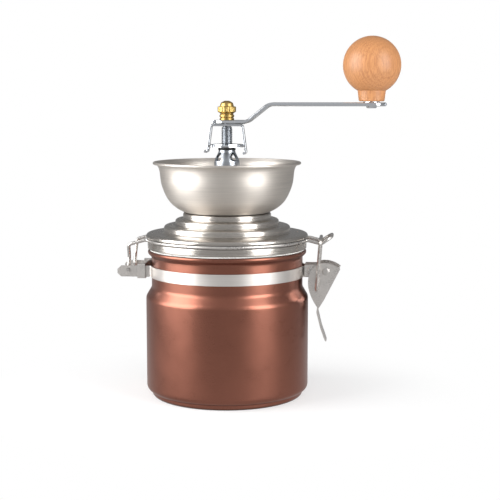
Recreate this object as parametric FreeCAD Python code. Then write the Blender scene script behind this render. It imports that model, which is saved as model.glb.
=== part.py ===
"""Hand crank coffee grinder: conical burrs under a hopper bowl, on a clip-top canister.

Millimetres, +Z up. The origin is the centre of the canister's flat base. The lid hinge is at -X,
the latch is at +X, and the crank arm points to +X at rest.
"""
import FreeCAD, Part
import math
import os

V = FreeCAD.Vector
X_AXIS = V(1, 0, 0)
Y_AXIS = V(0, 1, 0)
Z_AXIS = V(0, 0, 1)
ORIGIN = V(0, 0, 0)

# ---- driving dimensions -------------------------------------------------------------------------
CLEAR = 0.05                 # running clearance, on the radius, of every pin and shaft

# canister
CAN_R = 50.0                 # outer radius of the body
CAN_BASE_R = 46.7            # standing ring
CAN_NECK_R = 46.5
CAN_LIP_R = 48.7
CAN_LIP_Z = 90.5             # sealing face
CAN_SHOULDER_Z = 61.8
CAN_NECK_Z = 67.6
CAN_WALL = 0.8

# neck band and hinge
BAND_T = 0.8
BAND_Z0, BAND_Z1 = 74.3, 81.1
BAND_R = CAN_NECK_R + CLEAR + BAND_T / 2
ARM_Y = 12.4                 # middle of the hinge arms
TAB_Y = 5.2                  # middle of the latch tabs
HINGE = V(-59.6, 0, 78.6)    # axis of the lid hinge
ARM_END_X = -66.2
TAB_END_X = 54.8

# latch
PIVOT = V(61.0, 0, 78.1)     # axis of the lever
WIRE_HOLE = V(55.6, 0, 66.9)  # axis of the latch wire's ends, in the lever
PLATE_T = 0.8
PLATE_Y = TAB_Y + BAND_T / 2 + 0.03          # inner face of the latch plates
EAR_T = 0.8
EAR_Y = 7.05                 # inner face of the lever's ears
PIN_R = 1.5
WIRE_R = 1.05                # lid wire and latch wire
RIVET = V(51.6, 0, 78.3)     # rivet of the latch plates
LEG_Y = 9.6                  # latch wire's legs at the lever
BAR_Y = 12.0                 # half width of the latch wire's bar
NOSE_Y = 8.5                 # half width of the lid wire's nose
SEAT = V(58.1, NOSE_Y, 95.2)  # lowest corner of the nose, where the bar lies
NOSE_TIP = V(64.4, NOSE_Y, 99.5)
SEAT_BEND_R = 2 * WIRE_R + 0.15

# lid
LID_R = 49.7
LID_SKIRT_R = 48.8
LID_Z0 = 91.5
RING_R, RING_Z = 48.9, 97.07  # centre line of the lid wire
LID_TIERS = ((38.8, 105.6), (31.8, 109.5), (27.0, 113.4))   # radius and top of each step
THROAT_R = 16.0
SHEET_T = 1.0
LINER_Z = 93.5

# hopper bowl
BOWL_T = 0.8
RIM_R, RIM_Z, RIM_BEAD_R = 44.5, 143.4, 0.8

# bearing bridge
BRIDGE_TOP_Z = 151.2
BUSH_TOP_Z = 152.5
BRIDGE_T = 1.4
FOOT_R = 23.7
SCREW_RING_R = 21.0
SCREW_R = 1.5
SCREW_HEAD_R = 2.5
SCREW_ANGLES = (30, 150, 270)

# burrs
SHAFT_R = 2.9
BURR_Z0, BURR_Z1 = 84.0, 95.0
RING_BURR_R = 20.0
BORE_R0, BORE_R1 = 16.0, 12.4                # ring burr's bore at the bottom and at the top
BURR_GAP = 0.65
HUB_Z0, HUB_Z1 = 101.0, 108.0
HOUSING_R = 24.0

# adjuster, crank and knob
THREAD_R, THREAD_PITCH = 3.4, 1.1
PLATE_Z0, PLATE_Z1 = 152.6, 155.0
SHOULDER_Z = 165.5
BRACKET_T = 1.6
ARM_T = 2.3
ARM_W = 15.5
ARM_HUB_Z = SHOULDER_Z + BRACKET_T
ARM_RISE = 10.7
KNOB_X = 87.5
KNOB_R = 17.4
KNOB_Z = 202.3


# ---- helpers ------------------------------------------------------------------------------------
def rounded(points, closed=False):
    """Wire through points, each (vector, corner radius), with every corner replaced by a tangent arc."""
    count = len(points)
    edges = []
    start = None
    first = None
    for i, (corner, radius) in enumerate(points):
        if not closed and i in (0, count - 1):
            entry = leave = corner
            bend = None
        else:
            before = points[i - 1][0]
            after = points[(i + 1) % count][0]
            to_before = (before - corner).normalize()
            to_after = (after - corner).normalize()
            half = to_before.getAngle(to_after) / 2
            bend = None
            entry = leave = corner
            if radius > 0 and math.pi / 2 - half > 1e-4:
                cut = radius / math.tan(half)
                entry = corner + to_before * cut
                leave = corner + to_after * cut
                middle = (to_before + to_after).normalize()
                top = corner + middle * (radius / math.sin(half) - radius)
                bend = Part.Arc(entry, top, leave).toShape()
        if start is None:
            first = entry
        elif (entry - start).Length > 1e-6:
            edges.append(Part.LineSegment(start, entry).toShape())
        if bend:
            edges.append(bend)
        start = leave
    if closed and (first - start).Length > 1e-6:
        edges.append(Part.LineSegment(start, first).toShape())
    return Part.Wire(edges)


def xz(points, y=0.0):
    """Points (x, z, radius) as the vectors and radii that rounded() takes, in the plane of y."""
    return [(V(x, y, z), radius) for x, z, radius in points]


def turned(points):
    """Solid of revolution about Z from a closed outline of (radius, z, corner radius)."""
    return Part.Face(rounded(xz(points), closed=True)).revolve(ORIGIN, Z_AXIS, 360)


def turned_sheet(path, thickness):
    """Sheet of revolution about Z: the path is its outer face, and its wall goes inwards."""
    return path.makeOffset2D(thickness, 0, True, True).revolve(ORIGIN, Z_AXIS, 360)


def smooth(points, heading=None):
    """Smooth curve through (x, z) points in the XZ plane, leaving the first one along a heading."""
    curve = Part.BSplineCurve()
    row = [V(x, 0, z) for x, z in points]
    if heading:
        ahead = row[-1] - row[-2]
        curve.interpolate(Points=row, InitialTangent=heading, FinalTangent=ahead, Scale=True)
    else:
        curve.interpolate(row)
    return curve


def beside(curve, distance, heading):
    """Second smooth curve on the left of a curve in the XZ plane, at an even distance."""
    first, last = curve.FirstParameter, curve.LastParameter
    points = []
    for i in range(11):
        u = first + (last - first) * i / 10
        along = V(*curve.tangent(u)[0]).normalize()
        place = curve.value(u) + V(-along.z, 0, along.x) * distance
        points.append((place.x, place.z))
    return smooth(points, heading)


def extruded_xz(wire, y0, y1):
    """Solid from a closed wire in the XZ plane, between two values of y."""
    face = Part.Face(wire)
    face.translate(V(0, y0, 0))
    return face.extrude(V(0, y1 - y0, 0))


def rod(radius, start, end):
    """Round bar between two points."""
    return Part.makeCylinder(radius, (end - start).Length, start, end - start)


def cross_rod(radius, centre, y0, y1):
    """Round bar along Y at the x and z of centre."""
    return rod(radius, V(centre.x, y0, centre.z), V(centre.x, y1, centre.z))


def post(radius, x, y, z0, z1):
    """Upright round bar."""
    return rod(radius, V(x, y, z0), V(x, y, z1))


def swept(path, profile):
    """Solid of a closed profile wire, at the start of the path, carried along it."""
    return path.makePipeShell([profile], True, True)


def wire_rod(edges, radius):
    """Bent round wire along tangent edges that run from the first one to the last."""
    path = Part.Wire(edges)
    start = path.OrderedVertexes[0].Point
    first = path.OrderedEdges[0]
    heading = first.tangentAt(first.FirstParameter)
    return swept(path, Part.Wire(Part.makeCircle(radius, start, heading)))


def arc(start, middle, end):
    """Edge of a circular arc through three points."""
    return Part.Arc(start, middle, end).toShape()


def mirrored_y(shape):
    """The same shape on the other side of the XZ plane."""
    return shape.mirror(ORIGIN, Y_AXIS)


def across(point):
    """The point's mirror image in the XZ plane."""
    return V(point.x, -point.y, point.z)


def around_z(shape, angle):
    """Copy turned about the Z axis."""
    copy = shape.copy()
    copy.rotate(ORIGIN, Z_AXIS, angle)
    return copy


def polar(radius, angle):
    """x and y at a radius and an angle in degrees."""
    return radius * math.cos(math.radians(angle)), radius * math.sin(math.radians(angle))


def ring_to_tab(ring_r, bend_r, side, y, z):
    """Where a round ring turns outwards into a strand along X: ring end, arc middle, strand start.

    side is +1 at the latch or -1 at the hinge. The bend touches both the ring and the strand at y.
    """
    cy = y + bend_r
    cx = math.sqrt((ring_r + bend_r) ** 2 - cy ** 2)
    centre = V(side * cx, cy, z)
    on_ring = V(side * cx, cy, z) * (ring_r / (ring_r + bend_r))
    on_ring.z = z
    on_strand = V(side * cx, y, z)
    to_middle = ((on_ring - centre).normalize() + (on_strand - centre).normalize()).normalize()
    return on_ring, centre + to_middle * bend_r, on_strand


# ---- canister body ------------------------------------------------------------------------------
def make_canister():
    """Pressed can: standing ring, straight body, shoulder, neck and a lip rolled inwards."""
    lip_inner_r = CAN_NECK_R - 0.9
    path = rounded(xz([
        (0, 0, 0), (CAN_BASE_R, 0, 2.0), (CAN_BASE_R, 3.2, 0.9), (CAN_R, 4.6, 3.6),
        (CAN_R, CAN_SHOULDER_Z, 5.0), (CAN_NECK_R, CAN_NECK_Z, 4.0), (CAN_NECK_R, 86.4, 1.4),
        (CAN_LIP_R, 88.6, 1.4), (CAN_LIP_R, CAN_LIP_Z, 0.95), (lip_inner_r, CAN_LIP_Z, 0)]))
    return turned_sheet(path, CAN_WALL)


def make_band_rear():
    """Rear half of the neck band: hinge arm, half ring and latch tab, bent from one strip."""
    z = BAND_Z0
    at_hinge = ring_to_tab(BAND_R, 1.4, -1, ARM_Y, z)
    at_latch = ring_to_tab(BAND_R, 1.4, 1, TAB_Y, z)
    edges = [
        Part.LineSegment(V(ARM_END_X, ARM_Y, z), at_hinge[2]).toShape(),
        arc(at_hinge[2], at_hinge[1], at_hinge[0]),
        arc(at_hinge[0], V(0, BAND_R, z), at_latch[0]),
        arc(at_latch[0], at_latch[1], at_latch[2]),
        Part.LineSegment(at_latch[2], V(TAB_END_X, TAB_Y, z)).toShape()]
    start = V(ARM_END_X, ARM_Y - BAND_T / 2, z)
    section = rounded([
        (start, 0), (start + V(0, BAND_T, 0), 0),
        (start + V(0, BAND_T, BAND_Z1 - z), 0), (start + V(0, 0, BAND_Z1 - z), 0)], closed=True)
    strip = swept(Part.Wire(edges), section)
    corner = 2.2
    ends = []
    for z_edge, inward in ((BAND_Z0, 1), (BAND_Z1, -1)):
        ends.append(rounded(xz([
            (ARM_END_X - 1, z_edge - inward, 0), (ARM_END_X + corner, z_edge - inward, 0),
            (ARM_END_X + corner, z_edge, 0), (ARM_END_X, z_edge + inward * corner, 0),
            (ARM_END_X - 1, z_edge + inward * corner, 0)]), closed=True))
    for outline in ends:
        strip = strip.cut(extruded_xz(outline, ARM_Y - 2, ARM_Y + 2))
    strip = strip.cut(cross_rod(WIRE_R + CLEAR, HINGE, ARM_Y - 2, ARM_Y + 2))
    return strip.cut(cross_rod(PIN_R + 0.02, RIVET, 0, TAB_Y + 2))


def make_hinge_bridge():
    """Plate across the gap in the band behind the hinge, folded round both hinge arms."""
    x0, x1 = -53.8, -49.0
    z0, z1 = 73.4, 82.4
    wall = 0.8
    outer_y = ARM_Y + BAND_T / 2 + CLEAR + wall
    inner_y = ARM_Y - BAND_T / 2 - CLEAR - wall
    clips = []
    for side in (-1, 1):
        low = min(side * inner_y, side * outer_y)
        block = Part.makeBox(x1 - x0, outer_y - inner_y, z1 - z0, V(x0, low, z0))
        block = block.makeFillet(0.7, [e for e in block.Edges if abs(e.tangentAt(0).x) > 0.9])
        slot = Part.makeBox(x1 - x0 + 2, outer_y - inner_y - 2 * wall, BAND_Z1 - BAND_Z0 + 2 * CLEAR,
                            V(x0 - 1, low + wall, BAND_Z0 - CLEAR))
        clips.append(block.cut(slot))
    plate = Part.makeBox(wall, 2 * inner_y + 2 * wall, z1 - z0, V(x1 - wall, -inner_y - wall, z0))
    for side in (-1, 1):
        low = side * ARM_Y - BAND_T / 2 - CLEAR
        plate = plate.cut(Part.makeBox(3, BAND_T + 2 * CLEAR, BAND_Z1 - BAND_Z0 + 2 * CLEAR,
                                       V(x1 - 2, low, BAND_Z0 - CLEAR)))
    return clips[0].fuse(clips[1]).fuse(plate)


def make_latch_plate(side):
    """One of two plates that carry the lever pin, riveted outside the band's latch tabs."""
    outline = rounded(xz([
        (48.0, 75.0, 0.6), (64.2, 75.0, 3.0), (64.2, 82.0, 3.0), (48.0, 82.0, 0.6)]), closed=True)
    plate = extruded_xz(outline, PLATE_Y, PLATE_Y + PLATE_T)
    for centre in (RIVET, PIVOT):
        plate = plate.cut(cross_rod(PIN_R + 0.02, centre, 0, PLATE_Y + 2))
    return plate if side > 0 else mirrored_y(plate)


def cross_rivet(centre, head_y, head_r, head_t):
    """Rivet along Y with a low domed head at each end."""
    rivet = cross_rod(PIN_R, centre, -head_y, head_y)
    outline = [(0, 0, 0), (head_r, 0, 0.1), (head_r, head_t * 0.5, head_t * 0.4),
               (head_r * 0.55, head_t, head_t), (0, head_t, 0)]
    for side in (-1, 1):
        head = turned(outline)
        head.rotate(ORIGIN, X_AXIS, -90 * side)
        head.translate(V(centre.x, side * head_y, centre.z))
        rivet = rivet.fuse(head)
    return rivet


def make_band_rivet():
    return cross_rivet(RIVET, PLATE_Y + PLATE_T + 0.01, 2.3, 0.5)


def make_lever_pin():
    return cross_rivet(PIVOT, EAR_Y + EAR_T + 0.03, 2.3, 0.6)


# ---- lid body -----------------------------------------------------------------------------------
def make_lid():
    """Stepped lid: three round steps, a sloped flange, the groove of the lid wire and a skirt."""
    (r3, z3), (r2, z2), (r1, z1) = LID_TIERS
    t = SHEET_T
    flange_z = 101.7
    groove = WIRE_R + CLEAR
    groove_z = RING_Z
    outline = [
        (THROAT_R, z1, 0), (r1, z1, 1.5), (r1, z2, 0.5), (r2, z2, 1.8), (r2, z3, 0.5), (r3, z3, 2.0),
        (r3, flange_z, 0.8), (LID_R, 100.5, 1.7),
        (LID_R, groove_z + groove, 0.3), (RING_R - groove, groove_z + groove, groove * 0.9),
        (RING_R - groove, groove_z - groove, groove * 0.9), (LID_SKIRT_R, groove_z - groove, 0.5),
        (LID_SKIRT_R, LID_Z0, 0.35), (LID_SKIRT_R - 0.9, LID_Z0, 0.35), (LID_SKIRT_R - 0.9, LINER_Z + t, 0),
        (RING_R - groove - t, LINER_Z + t, 0), (RING_R - groove - t, 99.4, 0.8),
        (r3 - t, flange_z - t, 0.3), (r3 - t, z3 - t, 1.0), (r2 - t, z3 - t, 0.3), (r2 - t, z2 - t, 1.0),
        (r1 - t, z2 - t, 0.3), (r1 - t, z1 - t, 0.6), (THROAT_R, z1 - t, 0)]
    return turned(outline).cut(screw_holes(z1 - t - 1, z1 + 1))


def screw_holes(z0, z1):
    """The three upright holes that the through screws pass."""
    holes = [post(SCREW_R + CLEAR, *polar(SCREW_RING_R, a), z0, z1) for a in SCREW_ANGLES]
    return holes[0].multiFuse(holes[1:])


def make_lid_liner():
    """Disc that closes the lid from below and holds the gasket."""
    r_in = HOUSING_R + 0.1
    r_out = LID_SKIRT_R - 1.0
    return turned([
        (r_in, LINER_Z, 0), (42.4, LINER_Z, 0), (42.4, CAN_LIP_Z + 0.4, 0.3), (43.2, CAN_LIP_Z + 0.4, 0.3),
        (43.2, LINER_Z, 0), (r_out, LINER_Z, 0), (r_out, LINER_Z + 0.95, 0), (r_in, LINER_Z + 0.95, 0)])


def make_lid_gasket():
    """Silicone ring between the liner and the canister's lip."""
    return turned([(43.3, CAN_LIP_Z, 0.5), (47.7, CAN_LIP_Z, 0.5), (47.7, LINER_Z, 0), (43.3, LINER_Z, 0)])


def make_lid_wire():
    """One bent wire: hinge ends in the band's arms, a ring in the lid's groove, a nose at the latch."""
    arm_y = 15.0
    leg_y = ARM_Y - BAND_T / 2 - WIRE_R - 0.3
    at_hinge = ring_to_tab(RING_R, 2.2, -1, arm_y, RING_Z)
    at_latch = ring_to_tab(RING_R, 2.2, 1, NOSE_Y, RING_Z)
    strand_in = at_hinge[2] - V(0.8, 0, 0)
    hinge_side = rounded([
        (V(HINGE.x, ARM_Y + 1.6, HINGE.z), 0), (V(HINGE.x, leg_y, HINGE.z), 1.3),
        (V(-59.1, leg_y, HINGE.z + 8.2), 4.0), (V(-58.7, arm_y, 94.4), 2.6), (strand_in, 1.5),
        (at_hinge[2], 0)])
    strand_out = at_latch[2] + V(0.8, 0, 0)
    strand = [(at_latch[2], 0), (strand_out, 1.5), (SEAT, SEAT_BEND_R), (NOSE_TIP, 4.6)]
    nose = rounded(strand + [(across(p), r) for p, r in reversed(strand)])
    half = hinge_side.Edges + [
        arc(at_hinge[2], at_hinge[1], at_hinge[0]),
        arc(at_hinge[0], V(0, RING_R, RING_Z), at_latch[0]),
        arc(at_latch[0], at_latch[1], at_latch[2])]
    other = [mirrored_y(edge) for edge in reversed(half)]
    return wire_rod(half + nose.Edges + other, WIRE_R)


def make_hopper_bowl():
    """Open bowl with a flat floor, a belly, a flared mouth and a rolled rim."""
    floor_z = LID_TIERS[2][1]
    belly = [(26.0, floor_z), (30.9, 116.1), (35.2, 120.0), (38.3, 125.5), (40.3, 131.5), (41.1, 138.0),
             (42.1, 141.2), (RIM_R - 0.3, RIM_Z)]
    outer = smooth(belly, X_AXIS)
    inner = beside(outer, BOWL_T, X_AXIS)
    corners = [V(THROAT_R, 0, floor_z), outer.StartPoint, outer.EndPoint, inner.EndPoint, inner.StartPoint,
               V(THROAT_R, 0, floor_z + BOWL_T)]
    joins = [Part.LineSegment(corners[i], corners[j]).toShape() for i, j in ((0, 1), (2, 3), (4, 5), (5, 0))]
    wire = Part.Wire(Part.__sortEdges__([outer.toShape(), inner.toShape()] + joins))
    shell = Part.Face(wire).revolve(ORIGIN, Z_AXIS, 360)
    bead = Part.makeTorus(RIM_R, RIM_BEAD_R, V(0, 0, RIM_Z))
    return shell.fuse(bead).cut(screw_holes(floor_z - 1, floor_z + BOWL_T + 1))


def arch(width, z0, z1):
    """Cutter with a pointed arch outline that passes outwards along +X."""
    half = width / 2
    start_x = SHAFT_R + 0.7
    spring_z = z0 + (z1 - z0) * 0.45
    outline = rounded([
        (V(start_x, -half, z0), 1.0), (V(start_x, half, z0), 1.0), (V(start_x, half, spring_z), 1.6),
        (V(start_x, 0, z1), 0.5), (V(start_x, -half, spring_z), 1.6)], closed=True)
    return Part.Face(outline).extrude(V(FOOT_R * 2, 0, 0))


def make_bearing_bridge():
    """Bell-shaped bridge on the bowl's floor: four small windows above, three wide ones below."""
    floor_z = LID_TIERS[2][1] + BOWL_T
    foot_z = floor_z + BRIDGE_T
    top = BRIDGE_TOP_Z
    bell = turned([
        (FOOT_R, floor_z, 0), (FOOT_R, foot_z, 0.4), (17.4, foot_z, 2.0), (12.0, 124.8, 14.0),
        (8.2, 137.0, 20.0), (7.6, 145.2, 9.0), (5.2, 149.9, 3.0), (5.0, top, 0), (3.5, top, 0),
        (3.5, top - 1.4, 0.4), (6.3, 144.9, 6.0), (6.8, 137.0, 20.0), (10.6, 124.2, 12.0),
        (14.6, floor_z, 0)])
    for angle in (45, 135, 225, 315):
        bell = bell.cut(around_z(arch(5.4, 144.8, 150.2), angle))
    for angle in (90, 210, 330):
        bell = bell.cut(around_z(arch(17.0, foot_z + 0.8, 140.5), angle))
    return bell.cut(screw_holes(floor_z - 1, foot_z + 1))


def make_upper_bush():
    """Nylon bush that fills the top of the bridge round the shaft."""
    return turned([
        (SHAFT_R + CLEAR, 147.6, 0), (3.45, 147.6, 0), (3.45, BRIDGE_TOP_Z + 0.02, 0),
        (5.3, BRIDGE_TOP_Z + 0.02, 0.2), (5.3, BUSH_TOP_Z, 0.3), (SHAFT_R + CLEAR, BUSH_TOP_Z, 0)])


def hexagon(across_flats, z0, z1, x=0.0, y=0.0):
    """Upright six-sided prism."""
    corner_r = across_flats / math.sqrt(3)
    points = [V(x + corner_r * math.cos(math.radians(a)), y + corner_r * math.sin(math.radians(a)), z0)
              for a in range(0, 360, 60)]
    return Part.Face(Part.makePolygon(points + points[:1])).extrude(V(0, 0, z1 - z0))


def make_bridge_screws():
    """Three pan-head screws through bridge, bowl, lid and burr housing."""
    top = LID_TIERS[2][1] + BOWL_T + BRIDGE_T
    screws = []
    for angle in SCREW_ANGLES:
        x, y = polar(SCREW_RING_R, angle)
        head = turned([(0, top, 0), (SCREW_HEAD_R, top, 0), (SCREW_HEAD_R, top + 1.0, 0.9),
                       (1.2, top + 1.9, 0.8), (0, top + 1.9, 0)])
        head = head.cut(Part.makeBox(6, 0.8, 1.2, V(-3, -0.4, top + 1.1)))
        head.translate(V(x, y, 0))
        screws.append(head.fuse(post(SCREW_R, x, y, HUB_Z1 - 4.5, top)))
    return Part.makeCompound(screws)


def make_screw_nuts():
    """The three nuts under the burr housing's flange."""
    nuts = []
    for angle in SCREW_ANGLES:
        x, y = polar(SCREW_RING_R, angle)
        nuts.append(hexagon(5.5, HUB_Z1 - 3.0, HUB_Z1 - 0.5, x, y).cut(post(SCREW_R + 0.02, x, y, 100, 112)))
    return Part.makeCompound(nuts)


def make_burr_housing():
    """Cast housing under the lid: flange, throat, three arms with the lower hub, ring burr seat."""
    top = LID_TIERS[2][1] - SHEET_T - 0.02
    shell = turned([
        (THROAT_R, top, 0), (25.6, top, 0.8), (25.6, HUB_Z1 - 0.5, 0.5), (18.2, HUB_Z1 - 0.5, 0.05),
        (18.2, 100.5, 1.5), (HOUSING_R, 97.6, 1.2), (HOUSING_R, BURR_Z0 - 1.2, 0.6),
        (RING_BURR_R - 1.8, BURR_Z0 - 1.2, 0), (RING_BURR_R - 1.8, BURR_Z0 - 0.02, 0),
        (RING_BURR_R + 0.02, BURR_Z0 - 0.02, 0), (RING_BURR_R + 0.02, 96.0, 0.5),
        (THROAT_R, 98.0, 1.0)])
    hub = turned([(SHAFT_R + CLEAR + 1.6, HUB_Z0, 0), (6.6, HUB_Z0, 0.4), (6.6, HUB_Z1, 1.6),
                  (SHAFT_R + CLEAR + 1.6, HUB_Z1, 0)])
    housing = shell.fuse(hub)
    for angle in (60, 180, 300):
        web = Part.makeBox(THROAT_R + 1.0 - 6.0, 3.0, 5.0, V(6.0, -1.5, HUB_Z0 + 1.0))
        housing = housing.fuse(around_z(web, angle))
    return housing.cut(screw_holes(HUB_Z1 - 2, top + 1))


def make_lower_bush():
    """Sintered bush in the housing's hub."""
    return turned([(SHAFT_R + CLEAR, HUB_Z0, 0), (SHAFT_R + CLEAR + 1.58, HUB_Z0, 0),
                   (SHAFT_R + CLEAR + 1.58, HUB_Z1, 0), (SHAFT_R + CLEAR, HUB_Z1, 0)])


def tooth_grooves(count, r_low, r_high, depth, lean):
    """Slanted grooves on a cone from r_low at the burrs' bottom to r_high at their top."""
    cutters = []
    for i in range(count):
        low = V(*polar(r_low, 360 / count * i), BURR_Z0 - 1)
        high = V(*polar(r_high, 360 / count * i + lean), BURR_Z1 + 1)
        cutters.append(rod(depth, low, high))
    return cutters


def make_ring_burr():
    """Fixed outer burr with a conical, grooved bore."""
    ring = turned([
        (BORE_R0, BURR_Z0, 0), (RING_BURR_R, BURR_Z0, 0), (RING_BURR_R, BURR_Z1, 0.6),
        (BORE_R1, BURR_Z1, 0)])
    return ring.cut(Part.makeCompound(tooth_grooves(18, BORE_R0 + 0.1, BORE_R1 + 0.1, 0.9, 22)))


def make_burr_spring():
    """Short compression spring between the lower hub and the cone burr."""
    wire_r, mean_r = 0.45, 5.2
    z0, z1 = BURR_Z1 + 0.6, HUB_Z0 - 0.6
    helix = Part.makeHelix((z1 - z0) / 3.5, z1 - z0, mean_r)
    ring = Part.Wire(Part.makeCircle(wire_r, V(mean_r, 0, 0), Y_AXIS))
    spring = Part.Wire(helix.Edges).makePipeShell([ring], True, True)
    spring.translate(V(0, 0, z0))
    return spring


# ---- adjuster, shaft, crank and knob ------------------------------------------------------------
def make_adjusting_nut():
    """Six-petalled nut on the thread; the lock bracket's legs stand in two of its notches."""
    petal_r, notch_r, notch_width = 11.9, 8.8, 6.8
    blank = turned([
        (THREAD_R + CLEAR, PLATE_Z0, 0), (5.6, PLATE_Z0, 0.2), (5.6, PLATE_Z0 + 0.5, 0.3),
        (petal_r, PLATE_Z0 + 0.5, 0.5), (petal_r, PLATE_Z1 - 0.4, 0.5), (6.4, PLATE_Z1, 0.8),
        (THREAD_R + CLEAR, PLATE_Z1, 0)])
    far, half = petal_r + 3, notch_width / 2
    mouth = petal_r - 0.9
    slot = rounded([
        (V(notch_r, -half, 0), 0.8), (V(mouth, -half, 0), 1.4), (V(far, -half - 2.6, 0), 0),
        (V(far, half + 2.6, 0), 0), (V(mouth, half, 0), 1.4), (V(notch_r, half, 0), 0.8)], closed=True)
    cutter = Part.Face(slot).extrude(V(0, 0, 200))
    for angle in range(0, 360, 60):
        blank = blank.cut(around_z(cutter, angle))
    return blank


def make_drive_shaft():
    """Shaft from the cone burr up to the crank, with the adjusting thread near its top."""
    shank_r = 2.4
    root_r = THREAD_R - 0.5
    outline = [(0, 78.6, 0), (shank_r, 78.6, 0.4), (shank_r, BURR_Z0 + 2, 0), (SHAFT_R, BURR_Z0 + 2, 0),
               (SHAFT_R, PLATE_Z0 + 0.1, 0)]
    turns = int((SHOULDER_Z - 0.6 - PLATE_Z0) / THREAD_PITCH)
    for i in range(turns):
        z = PLATE_Z0 + 0.2 + i * THREAD_PITCH
        outline += [(root_r, z, 0), (THREAD_R, z + THREAD_PITCH * 0.4, 0),
                    (THREAD_R, z + THREAD_PITCH * 0.6, 0)]
    outline += [(root_r, PLATE_Z0 + 0.2 + turns * THREAD_PITCH, 0), (root_r, SHOULDER_Z, 0),
                (shank_r, SHOULDER_Z, 0), (shank_r, 176.5, 0.4), (0, 176.5, 0)]
    return turned(outline)


def make_lock_bracket():
    """Bent strip over the thread: its two legs keep the adjusting nut from turning."""
    width = 6.0
    z_top = SHOULDER_Z + BRACKET_T
    path = rounded(xz([
        (-13.8, 149.9, 0), (-11.9, 149.4, 0.6), (-10.1, z_top, 1.9), (10.1, z_top, 1.9),
        (12.3, 149.0, 0.4), (10.3, 148.6, 0)]))
    face = path.makeOffset2D(BRACKET_T * 0.85, 0, True, True)
    if face.BoundBox.ZMax > z_top + 0.1:
        face = path.makeOffset2D(-BRACKET_T * 0.85, 0, True, True)
    face.translate(V(0, -width / 2, 0))
    return face.extrude(V(0, width, 0)).cut(post(2.42, 0, 0, 160, 170))


def make_crank_arm():
    """Flat arm: hub on the shaft, a rise over the bowl's rim and a level end under the knob."""
    z0 = ARM_HUB_Z
    end_x = KNOB_X + ARM_W / 2 + 0.6
    start_x = -ARM_W / 2 - 0.4
    path = rounded(xz([
        (start_x, z0, 0), (12.6, z0, 6.0), (26.0, z0 + ARM_RISE, 6.0), (end_x, z0 + ARM_RISE, 0)]))
    side = path.makeOffset2D(ARM_T, 0, True, True)
    if side.BoundBox.ZMin < z0 - 0.1:
        side = path.makeOffset2D(-ARM_T, 0, True, True)
    side.translate(V(0, -ARM_W / 2, 0))
    arm = side.extrude(V(0, ARM_W, 0))
    plan = rounded([(V(start_x, -ARM_W / 2, 0), 7.7), (V(end_x, -ARM_W / 2, 0), 7.7),
                    (V(end_x, ARM_W / 2, 0), 7.7), (V(start_x, ARM_W / 2, 0), 7.7)], closed=True)
    arm = arm.common(Part.Face(plan).extrude(V(0, 0, 250)))
    arm = arm.cut(post(2.42, 0, 0, z0 - 1, z0 + ARM_T + 1))
    return arm.cut(post(2.52, KNOB_X, 0, z0, z0 + ARM_RISE + ARM_T + 1))


def make_dome_nut():
    """Brass nut with two ribs, a coin-edged band and a domed top."""
    z = ARM_HUB_Z + ARM_T + 0.02
    top = 181.1
    outline = [(2.42, z, 0), (4.4, z, 0.3), (4.4, z + 1.0, 0.3), (3.9, z + 1.4, 0.15), (4.5, z + 2.1, 0.3),
               (4.5, z + 2.9, 0.3), (3.9, z + 3.5, 0.3), (4.2, z + 4.2, 0.3), (5.6, z + 5.0, 0.4),
               (5.6, z + 8.1, 0.4), (4.3, z + 8.3, 0.1), (3.7, top - 1.2, 1.6), (1.4, top, 2.0), (0, top, 0),
               (0, 176.8, 0), (2.42, 176.8, 0)]
    nut = turned(outline)
    flutes = [post(0.45, *polar(5.85, 360 / 20 * i), z + 4.3, z + 8.4) for i in range(20)]
    return nut.cut(Part.makeCompound(flutes))


def make_cone_burr():
    """Turning inner burr, on the shaft's lower end."""
    cone = turned([
        (2.42, BURR_Z0, 0), (BORE_R0 - BURR_GAP, BURR_Z0, 0.3), (BORE_R1 - BURR_GAP, BURR_Z1, 0.6),
        (SHAFT_R + 0.02, BURR_Z1, 0), (SHAFT_R + 0.02, BURR_Z0 + 2.0, 0), (2.42, BURR_Z0 + 2.0, 0)])
    grooves = tooth_grooves(12, BORE_R0 - BURR_GAP - 0.1, BORE_R1 - BURR_GAP - 0.1, 1.0, -30)
    return cone.cut(Part.makeCompound(grooves))


def make_burr_washer():
    return turned([(2.42, 82.9, 0), (6.5, 82.9, 0.2), (6.5, 83.98, 0.2), (2.42, 83.98, 0)])


def make_burr_nut():
    return hexagon(8.0, 79.4, 82.88).cut(post(2.42, 0, 0, 79, 83))


def make_knob_pin():
    """Pin riveted in the arm, with a head inside the knob that keeps the knob on."""
    arm_bottom = ARM_HUB_Z + ARM_RISE
    arm_top = arm_bottom + ARM_T
    pin = turned([
        (0, arm_bottom - 1.2, 0), (2.9, arm_bottom - 1.2, 0.8), (3.3, arm_bottom - 0.01, 0),
        (2.5, arm_bottom - 0.01, 0), (2.5, arm_top + 0.01, 0), (5.0, arm_top + 0.01, 0),
        (5.0, arm_top + 0.5, 0.2), (2.4, arm_top + 0.5, 0), (2.4, 205.0, 0), (3.4, 205.0, 0),
        (3.4, 206.6, 0.6), (0, 206.6, 0)])
    pin.translate(V(KNOB_X, 0, 0))
    return pin


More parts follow.
